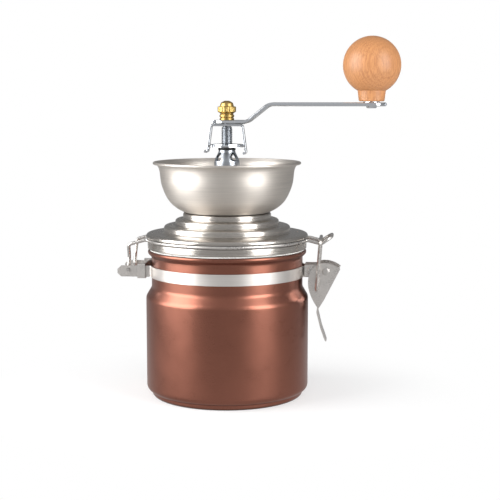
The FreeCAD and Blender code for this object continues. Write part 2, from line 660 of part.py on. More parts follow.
def make_knob():
    """Turned beech ball with a short neck, bored from below for its bush."""
    neck_r0, neck_r1 = 7.7, 8.5
    z0 = ARM_HUB_Z + ARM_RISE + ARM_T + 0.65
    bush_r = 4.32
    ball_z = KNOB_Z - math.sqrt(KNOB_R ** 2 - neck_r1 ** 2)
    outline = Part.Wire(Part.__sortEdges__([
        Part.LineSegment(V(bush_r, 0, z0), V(neck_r0, 0, z0)).toShape(),
        Part.LineSegment(V(neck_r0, 0, z0), V(neck_r1, 0, ball_z)).toShape(),
        arc(V(neck_r1, 0, ball_z), V(KNOB_R, 0, KNOB_Z), V(0, 0, KNOB_Z + KNOB_R)),
        Part.LineSegment(V(0, 0, KNOB_Z + KNOB_R), V(0, 0, 207.2)).toShape(),
        Part.LineSegment(V(0, 0, 207.2), V(bush_r, 0, 207.2)).toShape(),
        Part.LineSegment(V(bush_r, 0, 207.2), V(bush_r, 0, z0)).toShape()]))
    knob = Part.Face(outline).revolve(ORIGIN, Z_AXIS, 360)
    knob.translate(V(KNOB_X, 0, 0))
    return knob


def make_knob_bush():
    """Steel sleeve pressed into the knob; it turns on the pin under the pin's head."""
    z0 = ARM_HUB_Z + ARM_RISE + ARM_T + 0.65
    bush = turned([(2.4 + CLEAR, z0, 0), (4.3, z0, 0), (4.3, 204.8, 0), (2.4 + CLEAR, 204.8, 0)])
    bush.translate(V(KNOB_X, 0, 0))
    return bush


# ---- latch --------------------------------------------------------------------------------------
def make_latch_lever():
    """Pressed lever: two fan-shaped ears, a web along their outer edge and a thumb tab below."""
    tip_top = (69.8, 79.8)
    heel = (60.0, 60.5)
    waist = (56.3, 55.4)
    fan = smooth([waist, (52.4, 62.0), (50.2, 71.0), (52.0, 78.6), (56.4, 82.6), (62.6, 83.1), tip_top])
    edge = rounded(xz([(*tip_top, 0), (*heel, 2.0), (*waist, 0)])).Edges
    outline = Part.Wire(Part.__sortEdges__([fan.toShape()] + edge))
    ears = []
    for y0 in (EAR_Y, -EAR_Y - EAR_T):
        ear = extruded_xz(outline, y0, y0 + EAR_T)
        ear = ear.cut(cross_rod(PIN_R + CLEAR, PIVOT, y0 - 1, y0 + EAR_T + 1))
        ears.append(ear.cut(cross_rod(WIRE_R + CLEAR, WIRE_HOLE, y0 - 1, y0 + EAR_T + 1)))
    top = V(69.2, 0, 79.0)
    path = rounded(xz([
        (top.x, top.z, 0), (*heel, 2.2), (55.9, 53.9, 5.0), (58.6, 43.0, 12.0), (61.6, 34.6, 0)]))
    sheet = path.makeOffset2D(EAR_T, 0, True, True)
    if sheet.BoundBox.XMax > top.x + EAR_T * 0.5:
        sheet = path.makeOffset2D(-EAR_T, 0, True, True)
    half = EAR_Y + EAR_T
    sheet.translate(V(0, -half, 0))
    leaf = sheet.extrude(V(0, 2 * half, 0))
    tab = rounded([(V(0, -half, 90), 0), (V(0, half, 90), 0), (V(0, half, 56), 6.0), (V(0, 6.2, 46), 6.0),
                   (V(0, 6.2, 33.5), 4.2), (V(0, -6.2, 33.5), 4.2), (V(0, -6.2, 46), 6.0),
                   (V(0, -half, 56), 6.0)], closed=True)
    leaf = leaf.common(Part.Face(tab).extrude(V(100, 0, 0)))
    return ears[0].fuse(ears[1]).fuse(leaf)


def seat_centre():
    """Centre of the bend in the nose, where the latch wire's bar lies."""
    ring_end = ring_to_tab(RING_R, 2.2, 1, NOSE_Y, RING_Z)[2] + V(0.8, 0, 0)
    to_ring = (ring_end - SEAT).normalize()
    to_tip = (NOSE_TIP - SEAT).normalize()
    middle = (to_ring + to_tip).normalize()
    return SEAT + middle * (SEAT_BEND_R / math.sin(to_ring.getAngle(to_tip) / 2))


def make_latch_wire():
    """Bail from the lever's ears up over the lid wire's nose."""
    pin_end = V(WIRE_HOLE.x, EAR_Y - 1.3, WIRE_HOLE.z)
    elbow = V(WIRE_HOLE.x, LEG_Y, WIRE_HOLE.z)
    bar = seat_centre()
    points = [(pin_end, 0), (elbow, 1.25), (V(bar.x, BAR_Y, bar.z), 2.2)]
    return wire_rod(rounded(points + [(across(p), r) for p, r in reversed(points)]).Edges, WIRE_R)


# ---- write one file per piece -------------------------------------------------------------------
def make_all():
    rear = make_band_rear()
    return {
        "canister": make_canister(),
        "neck_band_rear": rear,
        "neck_band_front": mirrored_y(rear),
        "hinge_bridge": make_hinge_bridge(),
        "latch_plate_rear": make_latch_plate(1),
        "latch_plate_front": make_latch_plate(-1),
        "band_rivet": make_band_rivet(),
        "lever_pin": make_lever_pin(),
        "lid": make_lid(),
        "lid_liner": make_lid_liner(),
        "lid_gasket": make_lid_gasket(),
        "lid_wire": make_lid_wire(),
        "hopper_bowl": make_hopper_bowl(),
        "bearing_bridge": make_bearing_bridge(),
        "upper_bush": make_upper_bush(),
        "bridge_screws": make_bridge_screws(),
        "screw_nuts": make_screw_nuts(),
        "burr_housing": make_burr_housing(),
        "lower_bush": make_lower_bush(),
        "ring_burr": make_ring_burr(),
        "burr_spring": make_burr_spring(),
        "adjusting_nut": make_adjusting_nut(),
        "drive_shaft": make_drive_shaft(),
        "lock_bracket": make_lock_bracket(),
        "crank_arm": make_crank_arm(),
        "dome_nut": make_dome_nut(),
        "cone_burr": make_cone_burr(),
        "burr_washer": make_burr_washer(),
        "burr_nut": make_burr_nut(),
        "knob_pin": make_knob_pin(),
        "knob": make_knob(),
        "knob_bush": make_knob_bush(),
        "latch_lever": make_latch_lever(),
        "latch_wire": make_latch_wire(),
    }


os.makedirs("parts", exist_ok=True)
for name, shape in make_all().items():
    shape.exportStep("parts/" + name + ".step")
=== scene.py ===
"""Hand crank coffee grinder on a clip-top canister, laid out as a Blender add-on and run as a script.

Every shape is worked out in millimetres in the frame of the CAD model: +Z up, origin at the centre of the
canister's base, hinge at -X, latch and crank at +X.
"""
import math

import bpy
import numpy as np
from bpy.props import FloatProperty, FloatVectorProperty, IntProperty, PointerProperty
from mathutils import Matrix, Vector


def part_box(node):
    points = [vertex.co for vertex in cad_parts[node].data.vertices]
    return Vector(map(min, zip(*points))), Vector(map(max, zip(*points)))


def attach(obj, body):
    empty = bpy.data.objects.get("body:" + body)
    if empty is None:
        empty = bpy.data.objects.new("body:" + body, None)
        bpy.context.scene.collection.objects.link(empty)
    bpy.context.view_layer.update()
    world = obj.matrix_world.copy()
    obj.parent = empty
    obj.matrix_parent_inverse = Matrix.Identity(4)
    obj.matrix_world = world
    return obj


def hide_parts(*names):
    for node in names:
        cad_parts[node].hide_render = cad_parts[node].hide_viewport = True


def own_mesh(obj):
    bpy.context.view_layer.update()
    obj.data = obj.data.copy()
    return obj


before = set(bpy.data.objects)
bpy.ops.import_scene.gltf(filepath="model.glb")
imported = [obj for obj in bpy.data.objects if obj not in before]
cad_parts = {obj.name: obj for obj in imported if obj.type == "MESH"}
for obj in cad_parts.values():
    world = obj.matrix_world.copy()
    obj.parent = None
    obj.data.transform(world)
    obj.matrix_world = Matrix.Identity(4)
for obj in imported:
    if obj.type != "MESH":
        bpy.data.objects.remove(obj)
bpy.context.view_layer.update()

bl_info = {
    "name": "Hand Crank Coffee Grinder",
    "version": (1, 0, 0),
    "blender": (4, 5, 0),
    "location": "View3D > Sidebar > Grinder",
    "description": "Builds the visible pieces and finishes of a hand crank coffee grinder",
    "category": "Add Mesh",
}

MM = 0.001
TAU = 2 * math.pi
SMOOTH_ANGLE = math.radians(38)
ROUND = 240             # points round the large turned pieces
GRAIN_DEPTH = 0.0002    # metres that a bump stands proud
QUARTER_TURN = 0.25


def edges_of(node):
    """Lowest and highest corner of a CAD node, in millimetres."""
    low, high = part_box(node)
    return np.array(low) / MM, np.array(high) / MM


def top_of(node):
    return float(edges_of(node)[1][2])


def bottom_of(node):
    return float(edges_of(node)[0][2])


def reach_of(node):
    """Largest x of a CAD node, which is its radius if it is round about the shaft."""
    return float(edges_of(node)[1][0])


# ---- settings -----------------------------------------------------------------------------------
def length(name, description, default):
    """A size in metres, with its default given in millimetres."""
    return FloatProperty(name=name, description=description, default=default * MM, unit="LENGTH",
                         subtype="DISTANCE", precision=5)


def colour(name, description, default):
    return FloatVectorProperty(name=name, description=description, default=default, subtype="COLOR",
                               size=3, min=0.0, max=1.0)


class GrinderSizes(bpy.types.PropertyGroup):
    """Sizes that a user would change."""
    neck_radius: length("Neck radius", "Outer radius of the canister's neck", 46.5)
    can_wall: length("Canister wall", "Thickness of the pressed can", 0.8)
    bowl_wall: length("Bowl wall", "Thickness of the hopper bowl", 0.8)
    arm_width: length("Arm width", "Width of the crank arm", 15.5)
    thread_pitch: length("Thread pitch", "Pitch of the adjusting thread", 1.1)
    flutes: IntProperty(name="Nut flutes", description="Flutes round the dome nut's band", default=20,
                        min=8, max=40)


class GrinderColours(bpy.types.PropertyGroup):
    """Colours of the finishes."""
    copper: colour("Copper", "Satin lacquer of the canister", (0.30, 0.117, 0.080))
    steel: colour("Brushed steel", "Lid and bowl", (0.68, 0.635, 0.585))
    strip: colour("Strip steel", "Neck band and latch", (0.82, 0.78, 0.745))
    wire: colour("Wire", "Lid wire and latch wire", (0.68, 0.65, 0.62))
    zinc: colour("Zinc plate", "Crank, bracket and adjusting nut", (0.70, 0.745, 0.80))
    brass: colour("Brass", "Dome nut", (0.66, 0.46, 0.16))
    beech_light: colour("Beech, early wood", "Light wood of the knob", (0.45, 0.205, 0.080))
    beech_dark: colour("Beech, late wood", "Dark wood of the knob", (0.31, 0.112, 0.036))
    nylon: colour("Nylon", "Black bush", (0.012, 0.012, 0.012))
    iron: colour("Cast iron", "Burrs and their housing", (0.09, 0.09, 0.095))
    silicone: colour("Silicone", "Lid gasket", (0.55, 0.55, 0.52))
    floor: colour("Floor", "Floor and backdrop", (0.92, 0.92, 0.92))


# ---- shapes: points on grids --------------------------------------------------------------------
def unit(vectors):
    return vectors / np.maximum(np.linalg.norm(vectors, axis=-1, keepdims=True), 1e-12)


def rounded(points, radii, closed=False, steps=8):
    """Polyline through points with each corner replaced by a circular arc of its radius.

    The arc touches both sides at radius / tan(half the corner's angle) from the corner, and is turned
    out of the vector from its centre to the first touching point.
    """
    points = np.asarray(points, float)
    count = len(points)
    row = []
    for i, radius in enumerate(radii):
        corner = points[i]
        if radius <= 0 or (not closed and i in (0, count - 1)):
            row.append(corner[None])
            continue
        back = unit(points[i - 1] - corner)
        ahead = unit(points[(i + 1) % count] - corner)
        half = math.acos(float(np.clip(back @ ahead, -1, 1))) / 2
        if half > math.pi / 2 - 1e-4:
            row.append(corner[None])
            continue
        middle = unit(back + ahead)
        centre = corner + middle * radius / math.sin(half)
        first = unit(corner + back * radius / math.tan(half) - centre)
        sweep = math.pi - 2 * half
        across = unit(-middle - first * (first @ -middle))
        angles = np.linspace(0, sweep, steps + 1)[:, None]
        row.append(centre + radius * (np.cos(angles) * first + np.sin(angles) * across))
    return np.concatenate(row)


def even(points, spacing):
    """The same polyline with points added so that none are further apart than spacing."""
    points = np.asarray(points, float)
    gaps = np.linalg.norm(np.diff(points, axis=0), axis=1)
    keep = np.concatenate([[True], gaps > 1e-6])
    points = points[keep]
    gaps = gaps[keep[1:]]
    counts = np.maximum(1, np.ceil(gaps / spacing).astype(int))
    parts = [start + (end - start) * np.linspace(0, 1, n, endpoint=False)[:, None]
             for start, end, n in zip(points[:-1], points[1:], counts)]
    return np.concatenate(parts + [points[-1:]])


def smooth_curve(points, count):
    """Catmull-Rom curve through points: each span is the cubic whose end slopes are half the chord between
    its neighbours."""
    points = np.asarray(points, float)
    padded = np.concatenate([2 * points[:1] - points[1:2], points, 2 * points[-1:] - points[-2:-1]])
    t = np.linspace(0, len(points) - 1, count)
    i = np.minimum(t.astype(int), len(points) - 2)
    u = (t - i)[:, None]
    a, b, c, d = (padded[i + k] for k in range(4))
    return 0.5 * (2 * b + (c - a) * u + (2 * a - 5 * b + 4 * c - d) * u ** 2
                  + (3 * b - a - 3 * c + d) * u ** 3)


def grid_object(name, points, wrap_u=False, wrap_v=True, pole_start=False, pole_end=False):
    """Mesh object from a grid of points[u, v] in millimetres.

    Neighbouring points make quads. wrap_u and wrap_v join the last row or column to the first, and a pole
    closes an end with triangles to the middle of that row.
    """
    nu, nv = points.shape[:2]
    verts = points.reshape(-1, 3)
    u = np.arange(nu if wrap_u else nu - 1)
    v = np.arange(nv if wrap_v else nv - 1)
    uu, vv = np.meshgrid(u, v, indexing="ij")
    un, vn = (uu + 1) % nu, (vv + 1) % nv
    quads = np.stack([uu * nv + vv, un * nv + vv, un * nv + vn, uu * nv + vn], -1).reshape(-1, 4)
    faces = quads.tolist()
    for wanted, row, order in ((pole_start, 0, 1), (pole_end, nu - 1, -1)):
        if wanted:
            middle = points[row].mean(0)
            tip = len(verts)
            verts = np.concatenate([verts, middle[None]])
            a = row * nv + np.arange(nv)
            b = row * nv + (np.arange(nv) + 1) % nv
            fan = np.stack([np.full(nv, tip), a, b], -1)[:, ::order]
            faces += fan.tolist()
    return mesh_object(name, verts, faces)


def mesh_object(name, verts, faces):
    """Mesh object at the origin from vertices in millimetres, smooth with sharp edges, faces outwards."""
    mesh = bpy.data.meshes.new(name)
    mesh.from_pydata((verts * MM).tolist(), [], faces)
    mesh.validate()
    obj = bpy.data.objects.new(name, mesh)
    bpy.context.scene.collection.objects.link(obj)
    if signed_volume(mesh) < 0:
        mesh.flip_normals()
    mesh.shade_smooth()
    mesh.set_sharp_from_angle(angle=SMOOTH_ANGLE)
    return obj


def signed_volume(mesh):
    """Six times the volume inside a closed mesh: the sum of each triangle's corner product."""
    mesh.calc_loop_triangles()
    corners = np.zeros(len(mesh.vertices) * 3)
    mesh.vertices.foreach_get("co", corners)
    index = np.zeros(len(mesh.loop_triangles) * 3, int)
    mesh.loop_triangles.foreach_get("vertices", index)
    a, b, c = (corners.reshape(-1, 3)[index.reshape(-1, 3)[:, k]] for k in range(3))
    return float(np.einsum("ij,ij->i", a, np.cross(b, c)).sum())


def lathe(name, outline, segments=160, swell=None, centre=(0.0, 0.0), closed=False):
    """Surface of revolution: an outline of (radius, z) carried once round an upright axis.

    swell(angle, radius, z) may move the radius. An open outline that starts or ends on the axis is closed
    there with a pole.
    """
    outline = np.asarray(outline, float)
    on_axis = outline[:, 0] < 1e-6
    poles = (bool(on_axis[0]) and not closed, bool(on_axis[-1]) and not closed)
    outline[:, 0] = np.maximum(outline[:, 0], 1e-4)
    angle = np.arange(segments) / segments * TAU
    radius = np.repeat(outline[:, 0][:, None], segments, 1)
    height = np.repeat(outline[:, 1][:, None], segments, 1)
    if swell:
        radius = swell(angle[None], radius, height)
    points = np.stack([centre[0] + radius * np.cos(angle), centre[1] + radius * np.sin(angle), height], -1)
    start, end = (1 if poles[0] else 0), (-1 if poles[1] else None)
    return grid_object(name, points[start:end], wrap_u=closed, pole_start=poles[0], pole_end=poles[1])


def tube(name, path, normal, radius, sides=14):
    """Round wire: a circle carried along a path, with its two ends rounded off.

    The circle lies in the plane of each point's normal and of the tangent crossed with it.
    """
    tangent = unit(np.gradient(path, axis=0))
    side = np.cross(tangent, normal)
    angle = np.arange(sides) / sides * TAU
    ring = (np.cos(angle)[None, :, None] * normal[:, None]
            + np.sin(angle)[None, :, None] * side[:, None])
    body = path[:, None] + radius * ring
    bevel = radius * 0.35
    turn = np.linspace(0, math.pi / 2, 4)[1:, None, None]
    size = radius - bevel + bevel * np.cos(turn)
    shift = bevel * np.sin(turn) - bevel
    first, last = (path[row] + outward * shift * tangent[row] + size * ring[row]
                   for row, outward in ((0, -1), (-1, 1)))
    body[0] += bevel * tangent[0]
    body[-1] -= bevel * tangent[-1]
    return grid_object(name, np.concatenate([first[::-1], body, last]), pole_start=True, pole_end=True)


def strip_section(width, thickness, bevel, steps=3):
    """Rounded rectangle as (across the sheet, along its width) points.

    Each flat has a point close to either end, so that its shading stays flat right up to the bevel.
    """
    w, t = width / 2, thickness / 2
    corners = [(-t, -w), (t, -w), (t, w), (-t, w)]
    arcs = rounded(corners, [bevel] * 4, closed=True, steps=steps).reshape(4, steps + 1, 2)
    following = np.roll(arcs, -1, axis=0)
    start, stop = arcs[:, -1:], following[:, :1]
    step = unit(stop - start) * 0.04
    return np.concatenate([arcs, start + step, stop - step], axis=1).reshape(-1, 2)


def strip(name, path, axis, width, thickness, bevel, spacing, ends=None):
    """Flat strip, closed at both ends: a rounded rectangle carried along a path that lies square to axis.

    width is one number, or half widths from ends(distance from the start, whole length).
    """
    path = even(path, spacing)
    tangent = unit(np.gradient(path, axis=0))
    axis = np.asarray(axis, float)
    normal = unit(np.cross(axis, tangent))
    section = strip_section(width, thickness, bevel)
    run = np.concatenate([[0], np.cumsum(np.linalg.norm(np.diff(path, axis=0), axis=1))])
    half = np.full(len(path), width / 2) if ends is None else ends(run, run[-1])
    across = section[:, 0]
    along = section[:, 1] / (width / 2)
    points = (path[:, None] + normal[:, None] * across[None, :, None]
              + axis * (half[:, None] * along[None])[..., None])
    inset = 1 - 2 * bevel / thickness * 0.9
    caps = []
    for row, outward in ((0, -1), (-1, 1)):
        cap = (path[row] + normal[row] * across[:, None] * inset
               + axis * (half[row] * along * (1 - bevel / max(half[row], 1e-3)))[:, None])
        caps.append((cap + outward * bevel * tangent[row])[None])
    points = np.concatenate([caps[0], points, caps[1]])
    return grid_object(name, points, pole_start=True, pole_end=True)


def finish_piece(obj, body, material, node):
    """Give a piece its material, let it ride on its body, and let it stand for its CAD node."""
    obj.data.materials.append(material)
    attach(obj, body)
    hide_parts(node)


def finish_nodes(material, *nodes):
    """Give CAD nodes that stay their material."""
    for node in nodes:
        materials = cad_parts[node].data.materials
        for i in range(len(materials)):
            materials[i] = material


# ---- shader building ----------------------------------------------------------------------------
class Shader:
    """Short way to add nodes to a tree and link them: inputs are values or other nodes' sockets."""

    def __init__(self, tree):
        self.tree = tree

    def add(self, kind, inputs=(), **settings):
        node = self.tree.nodes.new(kind)
        for name, value in settings.items():
            setattr(node, name, value)
        for key, value in dict(inputs).items():
            self.feed(node.inputs[key], value)
        return node

    def feed(self, socket, value):
        if isinstance(value, bpy.types.NodeSocket):
            self.tree.links.new(value, socket)
        else:
            socket.default_value = value

    def math(self, operation, a, b=0.0):
        return self.add("ShaderNodeMath", {0: a, 1: b}, operation=operation).outputs[0]

    def times(self, a, b):
        return self.math("MULTIPLY", a, b)

    def plus(self, a, b):
        return self.math("ADD", a, b)

    def object_place(self):
        return self.add("ShaderNodeTexCoord").outputs["Object"]

    def hypotenuse(self, x, y):
        """Distance from the axis: the root of x times x plus y times y."""
        return self.math("SQRT", self.plus(self.times(x, x), self.times(y, y)))

    def vector(self, operation, a, b):
        return self.add("ShaderNodeVectorMath", {0: a, 1: b}, operation=operation).outputs["Vector"]

    def split(self, vector):
        return self.add("ShaderNodeSeparateXYZ", {0: vector}).outputs

    def combine(self, x, y, z):
        return self.add("ShaderNodeCombineXYZ", {0: x, 1: y, 2: z}).outputs[0]

    def remap(self, value, low, high, to_low, to_high, curve="SMOOTHSTEP"):
        node = self.add("ShaderNodeMapRange", {0: value, 1: low, 2: high, 3: to_low, 4: to_high})
        node.interpolation_type = curve
        return node.outputs[0]

    def mix(self, factor, a, b):
        node = self.add("ShaderNodeMix", data_type="RGBA")
        self.feed(node.inputs[0], factor)
        self.feed(node.inputs[6], a)
        self.feed(node.inputs[7], b)
        return node.outputs[2]

    def noise(self, vector, scale, detail=2.0, roughness=0.5, w=None):
        node = self.add("ShaderNodeTexNoise", {"Vector": vector, "Scale": scale, "Detail": detail,
                                               "Roughness": roughness},
                        noise_dimensions="3D" if w is None else "4D")
        if w is not None:
            self.feed(node.inputs["W"], w)
        return node.outputs[0]

    def bump(self, height, strength, distance, normal=None):
        inputs = {"Height": height, "Strength": strength, "Distance": distance}
        if normal is not None:
            inputs["Normal"] = normal
        return self.add("ShaderNodeBump", inputs).outputs[0]

    def vary(self, base, mask, low, high, amount, other):
        """Mix base towards another colour, by up to amount, where the mask rises from low to high."""
        return self.mix(self.remap(mask, low, high, 0.0, amount), base, other)

    def surface(self, bsdf, colour, roughness, normal, **plain):
        """Feed the principled shader what changes over the surface, and set its plain numbers."""
        for name, value in (("Base Color", colour), ("Roughness", roughness), ("Normal", normal)):
            self.feed(bsdf.inputs[name], value)
        for name, value in plain.items():
            bsdf.inputs[name.replace("_", " ")].default_value = value

    def place(self, group, **inputs):
        node = self.add("ShaderNodeGroup", node_tree=group)
        for name, value in inputs.items():
            self.feed(node.inputs[name.replace("_", " ")], value)
        return node.outputs


def new_group(name, inputs, outputs):
    """Shader node group with its sockets; returns (group, Shader, its inputs, its output node)."""
    group = bpy.data.node_groups.new(name, "ShaderNodeTree")
    for label, kind, default in inputs:
        socket = group.interface.new_socket(name=label, in_out="INPUT", socket_type=kind)
        socket.default_value = default
    for label, kind in outputs:
        group.interface.new_socket(name=label, in_out="OUTPUT", socket_type=kind)
    shader = Shader(group)
    entry = shader.add("NodeGroupInput")
    leave = shader.add("NodeGroupOutput")
    return group, shader, entry.outputs, leave


FLOAT = "NodeSocketFloat"


def build_turned_grain():
    """Fine rings left by a brush on a spinning piece.

    Noise is read at (radius, height) with a slow drift round the axis, so it is drawn out into rings. Two
    sizes are mixed, and a third, coarse noise fades the rings in and out.
    """
    group, s, given, out = new_group("Turned grain", [("Fineness", FLOAT, 9000.0), ("Drift", FLOAT, 2.0)],
                                     [("Rings", FLOAT), ("Patches", FLOAT)])
    place = s.object_place()
    x, y, z = s.split(place)
    radius = s.hypotenuse(x, y)
    safe = s.math("MAXIMUM", radius, 1e-4)
    drift = s.combine(s.math("DIVIDE", x, safe), s.math("DIVIDE", y, safe), 0.0)
    drift = s.vector("MULTIPLY", drift, s.combine(given["Drift"], given["Drift"], 0.0))
    dx, dy, _ = s.split(drift)
    fine = s.combine(s.times(radius, given["Fineness"]),
                     s.times(z, given["Fineness"]), dx)
    rings = s.noise(fine, 1.0, 3.0, 0.6, dy)
    coarseness = s.times(given["Fineness"], 0.18)
    coarse = s.combine(s.times(radius, coarseness), s.times(z, coarseness), dx)
    bands = s.noise(coarse, 1.0, 2.0, 0.5, dy)
    patches = s.noise(place, 55.0, 3.0, 0.55)
    mixed = s.plus(s.times(rings, 0.65), s.times(bands, 0.35))
    s.feed(out.inputs["Rings"], mixed)
    s.feed(out.inputs["Patches"], patches)
    return group


def build_sheet_grain():
    """Rolled sheet: noise squeezed along one direction into short straight streaks, and soft patches."""
    group, s, given, out = new_group("Sheet grain", [("Along", FLOAT, 900.0), ("Across", FLOAT, 9000.0),
                                                     ("Height", FLOAT, 9000.0)],
                                     [("Streaks", FLOAT), ("Patches", FLOAT)])
    place = s.object_place()
    drawn = s.vector("MULTIPLY", place, s.combine(given["Along"], given["Across"], given["Height"]))
    s.feed(out.inputs["Streaks"], s.noise(drawn, 1.0, 3.0, 0.6))
    s.feed(out.inputs["Patches"], s.noise(place, 160.0, 3.0, 0.6))
    return group


def build_wear_and_painted_shade():
    """Masks of rubbed edges, of dust, and of painted shade in corners.

    Edges: the angle between the face and a rounded normal. Corners: how open the space within the
    reach is, by ambient occlusion, eased between two limits: painted shade for corners and joints.
    """
    group, s, given, out = new_group("Edge wear and painted shade", [("Width", FLOAT, 0.0006), ("Amount", FLOAT, 0.6),
                                                   ("Reach", FLOAT, 0.0025)],
                                     [("Wear", FLOAT), ("Dust", FLOAT), ("Unshaded", FLOAT)])
    place = s.object_place()
    rounded_normal = s.add("ShaderNodeBevel", {"Radius": given["Width"]}, samples=4).outputs[0]
    normal = s.add("ShaderNodeNewGeometry").outputs["Normal"]
    same = s.add("ShaderNodeVectorMath", {0: rounded_normal, 1: normal}, operation="DOT_PRODUCT")
    edge = s.remap(same.outputs["Value"], 0.995, 0.85, 0.0, 1.0)
    broken = s.remap(s.noise(place, 900.0, 3.0, 0.65), 0.35, 0.6, 0.35, 1.0)
    s.feed(out.inputs["Wear"], s.times(s.times(edge, broken), given["Amount"]))
    dust = s.remap(s.noise(place, 1400.0, 2.0, 0.5), 0.72, 0.80, 0.0, 1.0)
    s.feed(out.inputs["Dust"], dust)
    # Painted shade: ambient occlusion marks corners, creases and joints, where shade falls.
    open_space = s.add("ShaderNodeAmbientOcclusion", {"Distance": given["Reach"]}, samples=8).outputs["AO"]
    s.feed(out.inputs["Unshaded"], s.remap(open_space, 0.15, 0.8, 0.0, 1.0))
    return group


GROUPS = {"Turned grain": build_turned_grain, "Sheet grain": build_sheet_grain,
          "Edge wear and painted shade": build_wear_and_painted_shade}


def group(name):
    """A shared node group, built the first time it is asked for."""
    return bpy.data.node_groups.get(name) or GROUPS[name]()


def built_once(build):
    """Let build(shader, principled, ...) make a named material, and give the same one ever after.

    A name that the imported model's own materials already use gives that plain material, and build is not
    called. zinc_plate, cast_iron and silicone are such names.
    """
    def material_of(name, *values, **settings):
        material = bpy.data.materials.get(name)
        if material is None:
            material = bpy.data.materials.new(name)
            material.use_nodes = True
            tree = material.node_tree
            build(Shader(tree), tree.nodes["Principled BSDF"], *values, **settings)
        return material
    return material_of


def tinted(rgb, factor):
    return tuple(min(1.0, c * factor) for c in rgb) + (1.0,)


def shade(rgb, factor):
    return tuple(factor * value for value in rgb)


@built_once
def turned_metal(s, bsdf, rgb, roughness, fineness=9000.0, bump=0.05, contrast=0.10, anisotropy=0.0):
    """Metal brushed on a lathe: rings move its colour, roughness and surface; edges are a little bright."""
    grain = s.place(group("Turned grain"), Fineness=fineness, Drift=1.5)
    edge = s.place(group("Edge wear and painted shade"), Width=0.0005, Amount=0.4)
    dark, light = tinted(rgb, 1 - contrast), tinted(rgb, 1 + contrast)
    base = s.mix(s.remap(grain["Rings"], 0.3, 0.7, 0.0, 1.0), dark, light)
    base = s.vary(base, grain["Patches"], 0.35, 0.7, 0.35, tinted(rgb, 1 - contrast * 0.7))
    base = s.mix(edge["Wear"], base, tinted(rgb, 1.25))
    # Painted shade: darker in corners and joints, by ambient occlusion.
    base = s.mix(edge["Unshaded"], tinted(rgb, 0.22), base)
    spread = 0.10
    rough = s.remap(grain["Rings"], 0.25, 0.75, roughness - spread / 2, roughness + spread / 2)
    smudge = s.remap(grain["Patches"], 0.4, 0.75, 0.0, spread * 0.5)
    s.surface(bsdf, base, s.plus(rough, smudge), s.bump(grain["Rings"], bump, GRAIN_DEPTH),
              Metallic=1.0, Anisotropic=anisotropy, Anisotropic_Rotation=QUARTER_TURN)


@built_once
def sheet_metal(s, bsdf, rgb, roughness, stretch, bump=0.04, contrast=0.08, wear=0.5, patch=0.3):
    """Rolled or plated metal: straight fine streaks, cloudy patches in its gloss, and bright worn edges."""
    grain = s.place(group("Sheet grain"), Along=stretch[0], Across=stretch[1], Height=stretch[2])
    edge = s.place(group("Edge wear and painted shade"), Width=0.0004, Amount=wear)
    base = s.mix(s.remap(grain["Streaks"], 0.3, 0.7, 0.0, 1.0), tinted(rgb, 1 - contrast),
                 tinted(rgb, 1 + contrast))
    base = s.mix(s.remap(grain["Patches"], 0.35, 0.7, 0.0, patch), base, tinted(rgb, 0.85))
    base = s.mix(edge["Wear"], base, tinted(rgb, 1.2))
    # Painted shade: darker in corners and joints, by ambient occlusion.
    base = s.mix(edge["Unshaded"], tinted(rgb, 0.25), base)
    spread = 0.12
    rough = s.remap(grain["Streaks"], 0.25, 0.75, roughness - spread / 2, roughness + spread / 2)
    cloud = s.remap(grain["Patches"], 0.4, 0.7, 0.0, spread)
    s.surface(bsdf, base, s.plus(rough, cloud), s.bump(grain["Streaks"], bump, GRAIN_DEPTH), Metallic=1.0)


@built_once
def copper_lacquer(s, bsdf, rgb):
    """Metallic copper lacquer over pressed steel: tiny flakes, soft orange peel, a thin clear coat."""
    place = s.object_place()
    grain = s.place(group("Turned grain"), Fineness=5200.0, Drift=3.0)
    edge = s.place(group("Edge wear and painted shade"), Width=0.0006, Amount=0.5)
    flakes = s.noise(place, 5200.0, 1.0, 0.5)
    base = s.mix(s.remap(flakes, 0.35, 0.65, 0.0, 1.0), tinted(rgb, 0.90), tinted(rgb, 1.10))
    base = s.vary(base, grain["Rings"], 0.35, 0.7, 0.30, tinted(rgb, 0.84))
    base = s.vary(base, grain["Patches"], 0.4, 0.7, 0.25, tinted(rgb, 1.08))
    base = s.mix(edge["Wear"], base, tinted(rgb, 1.5))
    # Painted shade: darker in corners and joints, by ambient occlusion.
    base = s.mix(edge["Unshaded"], tinted(rgb, 0.2), base)
    rough = s.plus(s.remap(flakes, 0.3, 0.7, 0.27, 0.34), s.remap(grain["Patches"], 0.4, 0.7, 0.0, 0.05))
    peel = s.bump(s.noise(place, 420.0, 2.0, 0.5), 0.06, 0.0004)
    s.surface(bsdf, base, rough, s.bump(grain["Rings"], 0.05, GRAIN_DEPTH, peel),
              Metallic=1.0, Coat_Weight=0.10, Coat_Roughness=0.30)


